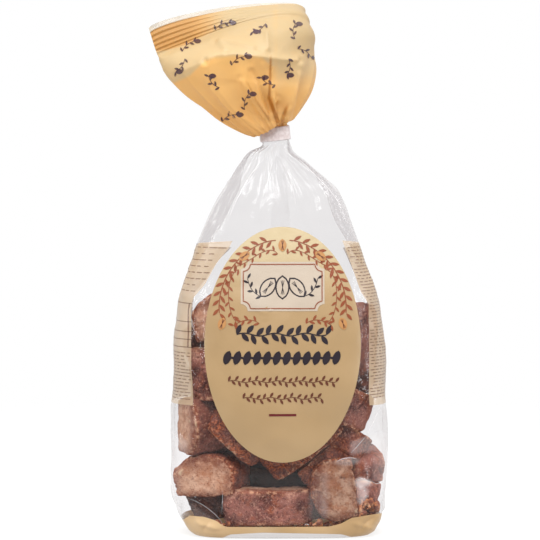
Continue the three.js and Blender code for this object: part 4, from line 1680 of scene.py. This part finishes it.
dash = add(tree, "GeometryNodeMeshGrid", flat).outputs["Mesh"]
feeds = {0: times(tree, pitch, length), 1: sizes["Thickness"], 2: 1.0}
size_of = add(tree, "ShaderNodeCombineXYZ", feeds).outputs[0]
feeds = {"Points": spots, "Instance": dash, "Scale": size_of}
end_tree(tree, add(tree, "GeometryNodeInstanceOnPoints", feeds).outputs[0], brown_ink)
fine_ink = half_clear("fine_ink", ink(116, 80, 64), 0.56)


def on_panel(points, side_name):
    """Lays flat points, from 0 to 1 round a panel and at heights in mm, on that panel."""
    start, end = panel_edges[side_name]
    first = np.interp(points[:, 1], panel_rows, start)
    last = np.interp(points[:, 1], panel_rows, end)
    return on_film(points[:, 1], first * (1 - points[:, 0]) + last * points[:, 0], RULE_LIFT)


# side, seed, lowest and highest in mm, lines
RULE_BLOCKS = [("left", 3, 72, 96, 15), ("right", 5, 73, 150, 50), ("left", 9, 128, 150, 8)]
for side_name, seed_number, low, high, lines in RULE_BLOCKS:
    mesh = made_by(
        dash_tree, Width=0.9, Height=(high - low) * MM, Lines=lines, Dashes=15, Seed=seed_number,
        Thickness=0.5 * MM,
    )
    points, faces, _ = mesh_arrays(mesh)
    round_panel = np.clip(points[:, 0] * MM + 0.5, 0.01, 0.99)
    flat = np.stack([round_panel, points[:, 1] + (low + high) / 2], axis=1)
    if side_name == "left":
        faces = [face[::-1] for face in faces]
    name = f"side_rules_{side_name}_{lines}"
    side_pieces.append(make_piece(name, on_panel(flat, side_name), faces, fine_ink))
print([piece.name for piece in side_pieces])

# %% Table on the left panel
TABLE_LINES = (99, 103, 107, 112, 121.5)
TABLE_COLUMNS = (0.03, 0.34, 0.66, 0.97)


def bar(edges, upright):
    """A bar between two lines of flat points."""
    count = len(edges[0])
    corners = (0, 1, count + 1, count) if upright else (0, count, count + 1, 1)
    faces = [[i + corner for corner in corners] for i in range(count - 1)]
    return np.concatenate(edges), faces


across, up = np.linspace(0, 1, 40), np.linspace(TABLE_LINES[0], TABLE_LINES[-1], 30)
bars = [
    bar([np.stack([across, 0 * across + (z + dz)], axis=1) for dz in (-0.25, 0.25)], False)
    for z in TABLE_LINES
]
bars += [
    bar([np.stack([0 * up + (t + dt), up], axis=1) for dt in (-0.008, 0.008)], True)
    for t in TABLE_COLUMNS
]
points, faces = together(bars)
side_pieces.append(make_piece("side_table_left", on_panel(points, "left"), faces, fine_ink))

# %% Printed base
BASE_ROWS = 16
BASE_LIFT = 0.16
UNDER_PRINT_HEIGHT = 0.12
BASE_TOP_BEHIND = 8.4
BASE_TOP_SEEN = (
    (176, 184, 190, 204.7, 217, 222, 226, 330, 340, 349.5, 366, 374, 384, 392),
    (519, 519, 515.5, 516.7, 520.5, 525, 526.6, 526.6, 524, 518, 515, 514, 513, 513),
)
BASE_LOW_SEEN = ((176, 205, 228, 262, 345, 372, 392), (544, 541, 534.2, 532.5, 534, 539, 544))
low_rows = film_rows < 22


def height_seen(table):
    """For each column of the film, the height at which it crosses a line of the picture."""
    heights = []
    for column in range(FILM_COLUMNS):
        across_here, down_here = shown[low_rows, column, 0], shown[low_rows, column, 1]
        wanted = np.interp(across_here.mean(), *table)
        heights.append(np.interp(-wanted, -down_here, film_rows[low_rows]))
    return np.array(heights)


is_front = ramp(np.sin(film_angles), -0.1, 0.3)
base_top = BASE_TOP_BEHIND * (1 - is_front) + height_seen(BASE_TOP_SEEN) * is_front
base_top += 0.2 * soft_noise(film_angles * 30, film_angles * 0, 9, 5)
base_low = np.maximum(0.3, height_seen(BASE_LOW_SEEN) * is_front)
print("base print from", round(float(base_low.min()), 1), "to", round(float(base_top.max()), 1), "mm")
t = np.linspace(0, 1, BASE_ROWS)[:, None]
base_height = base_low * (1 - t) + base_top * t
base_points = on_film(base_height, film_angles + np.zeros_like(base_height), BASE_LIFT)
base_finish = print_material(
    "base_finish", ink(214, 182, 138), 0.32, ink(198, 162, 114), through=0.2,
)
base_faces = grid_faces(BASE_ROWS, FILM_COLUMNS)
base_print = make_piece("base_print", base_points, base_faces, base_finish)
under_points = under.copy()
under_points[..., 2] = UNDER_PRINT_HEIGHT
under_faces = grid_faces(len(UNDER_SHARES), FILM_COLUMNS).tolist()
under_faces.append(list(range(FILM_COLUMNS))[::-1])
under_print = make_piece("under_print", under_points, under_faces, base_finish)

# %% Back seam
SEAM_HEIGHTS = (9, 197)
SEAM_EDGES = (7, -5)
SEAM_COLUMNS = 9
SEAM_LIFT = 0.3
seam_height = np.linspace(*SEAM_HEIGHTS, 150)
back_ring = np.linspace(math.pi * 1.2, math.pi * 1.8, 400)
seam_angle = []
for z in seam_height:
    back_x = film_form(z, back_ring)[:, 0]
    across = np.linspace(*SEAM_EDGES, SEAM_COLUMNS) * np.interp(z, [150, 197], [1, 0.35])
    seam_angle.append(np.interp(-across, -back_x, back_ring))
seam_angle = np.array(seam_angle)
seam = on_film(seam_height[:, None] + np.zeros_like(seam_angle), seam_angle, SEAM_LIFT)
seam_finish = film_material("seam_finish", 0.018, (0.84, 0.82, 0.84, 1), 0.14, SEAM_CLEAR)
seam_faces = grid_faces(len(seam_height), SEAM_COLUMNS, closed=False)
back_seam = make_piece("back_seam", seam, seam_faces, seam_finish)

# %% [markdown]
# ## Printed top
# Above the band the film is printed cream. It puffs out like a pouch, leans to the left and
# ends in a crimped heat seal that curls back on the right. The sheet comes from the same table
# of levels; pleats fan out from the band, two broad folds catch the light, and the crimp is a
# wave that moves both layers of film together.

# %% Sheet of the printed top
FLARE_COLUMNS = 360
CRIMP_HEIGHT = 0.34
LIP_HEIGHT = 2.3
flare_angles = np.arange(FLARE_COLUMNS) * TAU / FLARE_COLUMNS
flare_share = spaced((209.6, 218, 20), (218, SEAL_START, 104), (SEAL_START, SEAL_TOP, 56))
seen_share = (1 - np.cos(flare_angles)) / 2
cream_top = SEAL_TOP - LIP_HEIGHT * (1 - ramp(seen_share, 0.40, 0.72))
above_start = np.maximum(0, flare_share - SEAL_START)[:, None] / (SEAL_TOP - SEAL_START)
flare_at = np.minimum(flare_share, SEAL_START)[:, None] + above_start * (cream_top - SEAL_START)


def crimp(at):
    """The ridges of the heat seal, as a wave in mm."""
    turns = (at - SEAL_START) / (SEAL_TOP - SEAL_START) * SEAL_RIDGES
    fading = 1 - 0.95 * ramp(seen_share, 0.2, 0.44)
    return CRIMP_HEIGHT * np.sin(turns * TAU) * ramp(at, SEAL_START, SEAL_START + 0.8) * fading


flare_angle = flare_angles[None, :] + np.zeros_like(flare_at)
flare = film_form(flare_at, flare_angle, crimp(flare_at))
flare_out = grid_normals(flare)
below_seal = 1 - ramp(flare_at, SEAL_START - 5, SEAL_START)
fan = pleated(flare_angle, flare_at, (0.7, 30), 22, ((19, 0.6, 0.8), (31, 0.4, 2.0)))
flare_push = 0.55 * fan * ramp(flare_at, 212, 219) * (1 - ramp(flare_at, 222, 240))
x_flare = np.cumsum(np.linalg.norm(np.roll(flare, -1, 1) - flare, axis=2), axis=1)
above_band = ramp(flare_at, 216, 232)
for size, amount, turn, seed_number in ((26, 1.5, 0.7, 61), (17, 1.0, 2.2, 71), (10, 0.3, 1.5, 81)):
    soft_folds = folded(x_flare, flare_at * 1.2, size, turn, seed_number)
    flare_push += amount * soft_folds * below_seal * above_band
# path in pixels, height and width in mm
FLARE_FOLDS = [
    ([(206, 62), (216, 57), (236, 55), (262, 57), (300, 61)], 2.2, 2.4),
    ([(218, 38), (222, 46), (228, 54)], 1.3, 1.6), ([(264, 20), (267, 36), (268, 54)], 1.8, 1.8),
    ([(214, 41), (236, 43), (258, 50)], 1.3, 2.0),
    ([(240, 76), (254, 98), (270, 119)], 1.3, 1.6), ([(250, 66), (261, 90), (274, 116)], -1.8, 1.8),
    ([(261, 60), (270, 88), (279, 116)], 1.1, 1.6), ([(268, 64), (273, 86), (280, 112)], -1.0, 1.2),
    ([(277, 100), (278, 112), (280, 124)], -3.2, 1.3), ([(291, 104), (285, 116), (282, 123)], 1.2, 1.2),
    ([(272, 92), (275, 106), (279, 122)], 1.3, 1.0), ([(240, 116), (254, 124), (266, 130)], 0.9, 2.0),
    ([(286, 110), (283, 120)], -1.2, 1.0), ([(238, 104), (258, 118), (272, 125)], -0.7, 2.0),
    ([(300, 70), (296, 92), (288, 114)], 0.8, 2.4), ([(176, 74), (190, 68), (206, 62)], 0.9, 2.4),
]
TOP_CORNER_IN = 2.6
flare_front = ramp(np.sin(flare_angle), 0.0, 0.25)
for path, height, width in FLARE_FOLDS:
    flare_push += crease(flare, flare_front, path, height, width, 6.0) * below_seal
near_right = np.exp(-(((flare_angle - math.pi) / 0.55) ** 2))
flare_push *= 1 - 0.9 * near_right
flare_push += 1.4 * np.exp(-(((flare_at - 259) / 3.5) ** 2)) * near_right
flare = flare + flare_out * flare_push[..., None]
flare[..., 0] -= ramp(flare[..., 0], 6, 16) * (
    0.5 * np.exp(-(((flare_at - 266) / 5.5) ** 2)) + TOP_CORNER_IN * ramp(flare_at, 268, 277)
)
print("pushes of the top from", *(round(float(end(flare_push)), 2) for end in (np.min, np.max)), "mm")


def zip_top(row_start, columns):
    """Faces that close the front half of the last row against its back half."""
    faces = []
    for i in range(columns // 2):
        corners = [i, i + 1, columns - i - 1, (columns - i) % columns]
        unique = list(dict.fromkeys(corners))
        faces.append([row_start + c for c in unique])
    return faces


flare_rows = len(flare)
flare_grid = grid_faces(flare_rows, FLARE_COLUMNS).tolist()
flare_faces = flare_grid + zip_top((flare_rows - 1) * FLARE_COLUMNS, FLARE_COLUMNS)

# %% [markdown]
# ## Colour of the printed top
# The print is plain cream, with light and shade painted over it. Each point carries how much
# painted light and how much painted shade it takes: painted light above the long fold and at the
# right, where the top catches the light, and a full orange painted shade in the grooves, where
# the print folds over on itself, and at the shaded left end of the crimp.

# %% Finish of the printed top
# painted light lies above this line between the lit and the shaded part, in pixels
LIGHT_FOLD = ((150, 175, 190, 205, 215, 240, 262, 272, 312), (86, 82, 75, 60, 57, 55, 57, 66, 78))
CRIMP_FOOT = ((150, 168, 188, 208, 230), (52, 50, 44, 34, 26))
# grooves of the folds, which take a full orange painted shade
# rows down, middle across and half widths in pixels, blur, amount
GROOVES = [
    ((60, 84, 100, 120), (259, 257.5, 262.5, 273.5), (8, 11, 7, 3), 4.0, 0.16),
    ((56, 84, 98, 122), (270.8, 269.9, 269, 278), (0.3, 0.5, 0.9, 1.8), 1.3, 0.95),
    ((80, 100, 120), (246, 256, 270), (0.3, 0.5, 1.0), 1.4, 0.6),
    ((104, 114, 124), (288, 284, 281), (0.5, 0.8, 1.2), 2.0, 0.8),
]
picture_x, picture_y = np.moveaxis(in_picture(flare), -1, 0)
fold_here = np.interp(picture_x, *LIGHT_FOLD)
painted_light_at = 1 - ramp(picture_y, fold_here - 2, fold_here + 3)
foot_here = np.interp(picture_x, *CRIMP_FOOT)
in_crimp = 1 - ramp(picture_y, foot_here - 2, foot_here + 1.5)
painted_light_at *= 1 - in_crimp * (1 - ramp(picture_x, 192, 232))
at_right = ramp(picture_x, 268, 280)
painted_light_right = at_right * (1 - 0.9 * ramp(picture_y, 62, 96))
painted_light_at = np.maximum(painted_light_at * (1 - 0.25 * at_right), painted_light_right)
# painted shade in the grooves
painted_shade = np.zeros(flare.shape[:2])
for rows_down, middle_across, half_widths, blur, amount in GROOVES:
    away = np.abs(picture_x - np.interp(picture_y, rows_down, middle_across))
    half_width = np.interp(picture_y, rows_down, half_widths)
    inside = ramp(picture_y, rows_down[0] - 3, rows_down[0] + 6)
    inside *= 1 - ramp(picture_y, rows_down[-1], rows_down[-1] + 3)
    painted_shade = np.maximum(painted_shade, amount * inside * (1 - ramp(away - half_width, 0, blur)))
# painted shade at the shaded left end of the crimp
painted_shade = np.maximum(painted_shade, 0.5 * in_crimp * (1 - ramp(picture_x, 185, 225)))
unseen = 0.5 + 0.5 * soft_noise(x_flare, flare_at, 22, 91)
painted_light_at = np.clip(painted_light_at * flare_front + unseen * (1 - flare_front), 0, 1)
painted_shade = painted_shade * flare_front


def top_material(name, plain, pale, full, through):
    """Print whose colour follows two numbers that each point carries: painted light and painted shade.
    It is also painted darker towards the seal.
    """
    material, tree, shader, output, where = new_material(name, plain)
    cloud = rescale(tree, noise(tree, where, 0.014, 3.0), 0.3, 0.7, -0.1, 0.1)
    toned = mixed(tree, calc(tree, "ADD", mark(tree, "pale"), cloud, clamp=True), plain, pale)
    toned = mixed(tree, mark(tree, "painted_shade"), toned, full)
    # painted shade: the print darker towards the seal, against the strong light from overhead
    top_shade = rescale(tree, xyz(tree, where)[2], 0.238, 0.262, 1.0, 0.84)
    toned = scaled(tree, toned, top_shade)
    tree.links.new(toned, shader.inputs["Base Color"])
    shader.inputs["Roughness"].default_value = 0.38
    fine = relief(tree, noise(tree, where, 0.005, 3.0), 0.2, 0.0010)
    tree.links.new(fine, shader.inputs["Normal"])
    lit_through(tree, output, shader, toned, through)
    return material


# plain cream, the colour of the painted light and the orange of the painted shade
cream_finish = top_material(
    "cream_finish", ink(240, 194, 122), ink(216, 193, 148), ink(184, 126, 56), 0.42,
)
printed_top = make_piece(
    "printed_top", flare, flare_faces, cream_finish, numbers={"pale": painted_light_at, "painted_shade": painted_shade}
)
flare_tree = BVHTree.FromPolygons([Vector(p) for p in flare.reshape(-1, 3)], flare_grid)

# %% Ornament strewn on the top
# across and down in pixels, turn in degrees
PLUM_SPOTS = [
    (190, 47, 30), (224, 27, 14), (258, 33, 200), (294, 32, 75), (213, 84, 120), (240, 63, 20),
    (288, 72, 250), (247, 102, 60), (306, 55, 320), (181, 70, 220), (266, 84, 140), (231, 118, 10),
]
plum_ink = half_clear("plum_ink", ink(58, 34, 48), 0.82)


def sprig(x, z, degrees, size):
    """A small twig with leaves and one almond, centred at x and z."""
    c, s = math.cos(math.radians(degrees)), math.sin(math.radians(degrees))

    def put(a, b):
        return x + size * (a * c - b * s), z + size * (a * s + b * c)

    twig = curve_through(put(-4.2, -1.4), put(-1, 0.4), put(2.4, 0.2), count=12)
    tip = put(2.6, 0.2)
    kernel = leaves_on(
        [tip, (tip[0] + 0.1 * c, tip[1] + 0.1 * s)], 1, 3.4 * size, 2.2 * size,
        lean=0.0, alternate=0, blunt=0.6,
    )
    return [stroke(twig, 0.34, 0.5), leaves_on(twig, 5, 2.3 * size, 0.95 * size, lean=0.85), kernel]


VIEW_WAY = Vector(LOOK)
MARK_LIFT = 0.22
LONGEST_EDGE = 2.5


def pressed_on_top(points, side):
    """Presses flat points onto the printed top along the view, or from straight behind."""
    out = []
    for x, up in points:
        if side < 0:
            start = Vector((x, 0, up / math.cos(CAMERA_RISE))) - VIEW_WAY * 120
            hit = flare_tree.ray_cast(start, VIEW_WAY)
        else:
            hit = flare_tree.ray_cast(Vector((x, 120, up)), Vector((0, -1, 0)))
        if hit[0] is None:
            out.append(None)
            continue
        toward = -VIEW_WAY if side < 0 else Vector((0, 1, 0))
        normal = hit[1] if hit[1].dot(toward) > 0 else -hit[1]
        out.append(hit[0] + normal * MARK_LIFT)
    return out


def strew(name, spots, side):
    """Sprigs on one side of the top, without the faces that miss it or reach across a fold."""
    flat, flat_faces = together([shape for spot in spots for shape in sprig(*spot)])
    points = pressed_on_top(flat, side)
    faces = []
    for face in flat_faces:
        corners = [points[v] for v in face]
        if any(c is None for c in corners):
            continue
        if max((a - corners[0]).length for a in corners) <= LONGEST_EDGE:
            faces.append(face if side < 0 else face[::-1])
    used = sorted({v for face in faces for v in face})
    index = {v: k for k, v in enumerate(used)}
    faces = [[index[v] for v in face] for face in faces]
    return make_piece(name, [points[v] for v in used], faces, plum_ink)


SPRIG_SIZE = 1.15
front_spots = [
    ((px - BASE_PIXEL[0]) * PIXEL, (BASE_PIXEL[1] - py) * PIXEL, degrees, SPRIG_SIZE)
    for px, py, degrees in PLUM_SPOTS
]
# x and height in mm, turn in degrees
BACK_SPOTS = [
    (-44, 243, 20), (-28, 232, 80), (-30, 255, 150), (-12, 224, 40),
    (-10, 246, 300), (4, 232, 200), (6, 254, 120), (-47, 258, 330),
]
back_spots = [(*spot, SPRIG_SIZE) for spot in BACK_SPOTS]
top_marks = strew("top_marks", front_spots, -1)
top_marks_back = strew("top_marks_back", back_spots, 1)

# %% Clear lip above the seal
LIP_ROWS = 9
lip_up = np.linspace(0, 1, LIP_ROWS)[:, None]
lip_at = cream_top + (SEAL_TOP - cream_top) * lip_up
lip_crimp = crimp(lip_at) * (1 - ramp(lip_at - cream_top, 0, 0.7))
lip = film_form(lip_at, flare_angles[None, :], lip_crimp)
lip[..., 0] -= TOP_CORNER_IN * ramp(lip[..., 0], 6, 16)
lip_middle = (lip + lip[:, -np.arange(FLARE_COLUMNS) % FLARE_COLUMNS]) / 2
lip = lip_middle + (lip - lip_middle) * np.linspace(1, 0.12, LIP_ROWS)[:, None, None]
lip_finish = film_material("lip_finish", 0.6, (0.46, 0.40, 0.32, 1), 0.2, SEAM_CLEAR)
lip_faces = grid_faces(LIP_ROWS, FLARE_COLUMNS).tolist()
lip_faces += zip_top((LIP_ROWS - 1) * FLARE_COLUMNS, FLARE_COLUMNS)
seal_lip = make_piece("seal_lip", lip, lip_faces, lip_finish, smooth=False)

# %% [markdown]
# ## Neck band
# A flat strip of pale satin plastic holds the neck. A strip that follows a closed path is a
# profile swept along a curve, so a small node tree makes it: a squared oval, a thin rectangle
# with softened corners, and a little unevenness. It replaces the plain band of the part.

# %% Band tree
band_finish, tree, shader, output, where = new_material("band_finish", ink(203, 190, 188))
mottled = rescale(tree, noise(tree, where, 0.0016, 3.0), 0.35, 0.65)
tone = mixed(tree, mottled, ink(196, 182, 180), ink(214, 203, 202))
tree.links.new(tone, shader.inputs["Base Color"])
shader.inputs["Roughness"].default_value = 0.42
weave = relief(tree, noise(tree, where, 0.0007, 2.0), 0.4, 0.0003)
tree.links.new(weave, shader.inputs["Normal"])
band_tree, sizes = new_tree("band_on_path", [
    ("Half Width", "Float", 0.0075), ("Half Depth", "Float", 0.005), ("Height", "Float", 0.0074),
    ("Wall", "Float", 0.0005), ("Square", "Float", 2.2),
])
tree = band_tree
round_path = {"Resolution": 128, "Radius": 1.0}
circle = add(tree, "GeometryNodeCurvePrimitiveCircle", round_path).outputs["Curve"]
parts = xyz(tree, place_of(tree))


def to_power(value):
    """The size of a number, to the power that squares the oval."""
    return calc(tree, "POWER", calc(tree, "ABSOLUTE", value), sizes["Square"])


root = calc(tree, "DIVIDE", -1.0, sizes["Square"])
spread = calc(tree, "POWER", plus(tree, to_power(parts[0]), to_power(parts[1])), root)
half_sizes = (sizes["Half Width"], sizes["Half Depth"])
feeds = {k: times(tree, times(tree, parts[k], spread), half_sizes[k]) for k in (0, 1)}
oval = add(tree, "ShaderNodeCombineXYZ", feeds).outputs[0]
path = add(tree, "GeometryNodeSetPosition", {"Geometry": circle, "Position": oval}).outputs[0]
path = add(tree, "GeometryNodeSetCurveNormal", {"Curve": path}, mode="Z_UP").outputs[0]
feeds = {"Width": sizes["Wall"], "Height": sizes["Height"]}
strip = add(tree, "GeometryNodeCurvePrimitiveQuadrilateral", feeds).outputs[0]
feeds = {"Curve": strip, "Radius": times(tree, sizes["Wall"], 0.45), "Count": 3}
strip = add(tree, "GeometryNodeFilletCurve", feeds, mode="POLY").outputs[0]
feeds = {"Curve": strip, "Length": 0.0005}
strip = add(tree, "GeometryNodeResampleCurve", feeds, mode="LENGTH").outputs[0]
feeds = {"Curve": path, "Profile Curve": strip}
swept = add(tree, "GeometryNodeCurveToMesh", feeds).outputs[0]
uneven = times(tree, minus(tree, noise(tree, place_of(tree), 0.004, 1.0), 0.5), 0.0004)
feeds = {"Geometry": swept, "Offset": scaled(tree, normal_of(tree), uneven)}
end_tree(tree, add(tree, "GeometryNodeSetPosition", feeds).outputs[0], band_finish)

# %% Band
BAND_WALL = 0.5
BAND_GAP = 0.3
half_width, half_depth = (
    (half * (1 + WAIST_PLEAT) + BAND_GAP + BAND_WALL / 2) * MM
    for half in (WAIST_HALF_WIDTH, WAIST_HALF_DEPTH)
)
band_mesh = made_by(
    band_tree, Wall=BAND_WALL * MM, Height=BAND_HEIGHT * MM, Square=WAIST_SQUARE,
    **{"Half Width": half_width, "Half Depth": half_depth},
)
band_points, band_faces, _ = mesh_arrays(band_mesh)
print("band size before leaning", np.round(np.ptp(band_points, axis=0), 2))
band_points = band_points @ turn_about("y", -math.degrees(BAND_LEAN)).T + BAND_CENTRE
neck_strip = make_piece("neck_strip", band_points, band_faces, band_finish)

# %% [markdown]
# ## Lighting
# A white surround, a wide softbox overhead and two strips at the sides. The surround is
# darker towards the camera, so upright film stays clear and slanted film turns milky.

# %% World, lamps and floor
world = bpy.data.worlds.new("surround")
world.use_nodes = True
bpy.context.scene.world = world
tree = world.node_tree
tree.nodes.clear()
way = add(tree, "ShaderNodeTexCoord").outputs["Generated"]
parts = xyz(tree, way)
overhead = rescale(tree, parts[2], -0.1, 0.9, 0.0, 1.0)
in_front = rescale(tree, parts[1], 0.2, -0.9, 0.0, 1.0)
level_band = minus(tree, 1.0, calc(tree, "ABSOLUTE", parts[2]))
shade = times(tree, times(tree, in_front, level_band), 0.6)
light = minus(tree, plus(tree, 0.85, times(tree, overhead, 0.7)), shade)
seen = add(tree, "ShaderNodeLightPath").outputs["Is Camera Ray"]
strength = add(tree, "ShaderNodeMix", {0: seen, 2: light, 3: 1.0}, data_type="FLOAT").outputs[0]
background = add(tree, "ShaderNodeBackground", {"Color": (1, 1, 1, 1), "Strength": strength})
tree.links.new(background.outputs[0], add(tree, "ShaderNodeOutputWorld").inputs[0])


def softbox(name, at, to, width, height, watts):
    """A rectangular lamp that the camera can't see."""
    data = bpy.data.lights.new(name, "AREA")
    data.shape = "RECTANGLE"
    data.size, data.size_y, data.energy = width, height, watts
    lamp = bpy.data.objects.new(name, data)
    bpy.context.scene.collection.objects.link(lamp)
    lamp.location = at
    lamp.rotation_euler = (Vector(to) - Vector(at)).to_track_quat("-Z", "Y").to_euler()
    lamp.visible_camera = False


softbox("softbox_over", (0.05, -0.35, 1.05), (0, 0, 0.15), 0.7, 0.5, 5.0)
softbox("softbox_near", (-0.04, -0.46, 0.55), (0, 0, 0.15), 0.30, 0.22, 1.9)
softbox("strip_left", (-0.9, -0.5, 0.45), (0, 0, 0.12), 0.09, 0.9, 2.2)
softbox("strip_right", (0.95, -0.35, 0.45), (0, 0, 0.12), 0.08, 0.9, 2.2)

FLOOR_RADIUS = 0.7
FLOOR_SIDES = 96
floor_finish = bpy.data.materials.new("floor_finish")
floor_finish.use_nodes = True
tree = floor_finish.node_tree
tree.nodes.clear()
spot = add(tree, "ShaderNodeTexCoord").outputs["Object"]
radius = add(tree, "ShaderNodeVectorMath", {0: spot}, operation="LENGTH").outputs["Value"]
solid = rescale(tree, radius, 0.62, 0.3)
paint = add(tree, "ShaderNodeBsdfDiffuse", {"Color": (0.9, 0.9, 0.9, 1)})
seen = add(tree, "ShaderNodeLightPath").outputs["Is Camera Ray"]
strength = add(tree, "ShaderNodeMix", {0: seen, 2: 0.8, 3: 1.0}, data_type="FLOAT").outputs[0]
glow = add(tree, "ShaderNodeEmission", {"Strength": strength})
both = add(tree, "ShaderNodeMixShader", {0: 0.76, 1: paint.outputs[0], 2: glow.outputs[0]})
nothing = add(tree, "ShaderNodeBsdfTransparent")
faded = add(tree, "ShaderNodeMixShader", {0: solid, 1: nothing.outputs[0], 2: both.outputs[0]})
tree.links.new(faded.outputs[0], add(tree, "ShaderNodeOutputMaterial").inputs[0])
floor_mesh = bpy.data.meshes.new("floor")
turns = np.linspace(0, TAU, FLOOR_SIDES + 1)[:-1]
ring = [(FLOOR_RADIUS * math.cos(a), FLOOR_RADIUS * math.sin(a), -0.0002) for a in turns]
floor_mesh.from_pydata(ring, [], [list(range(FLOOR_SIDES))])
floor_mesh.materials.append(floor_finish)
floor = bpy.data.objects.new("floor", floor_mesh)
bpy.context.scene.collection.objects.link(floor)

scene = bpy.context.scene
scene.view_settings.view_transform = "Standard"
scene.cycles.transparent_max_bounces = 24
scene.cycles.max_bounces = 8
scene.cycles.caustics_reflective = False
scene.cycles.caustics_refractive = False

# %% Hand over
for piece in [*biscuit_pieces, crumbs]:
    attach(piece, "root")
    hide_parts("bag")
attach(clear_film, "root")
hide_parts("bag")
top_pieces = [printed_top, top_marks, top_marks_back]
for piece in [*label_pieces, *side_pieces, base_print, under_print, *top_pieces]:
    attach(piece, "root")
for piece in (seal_lip, back_seam, film_glints):
    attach(piece, "root")
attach(neck_strip, "root")
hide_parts("neck_band")
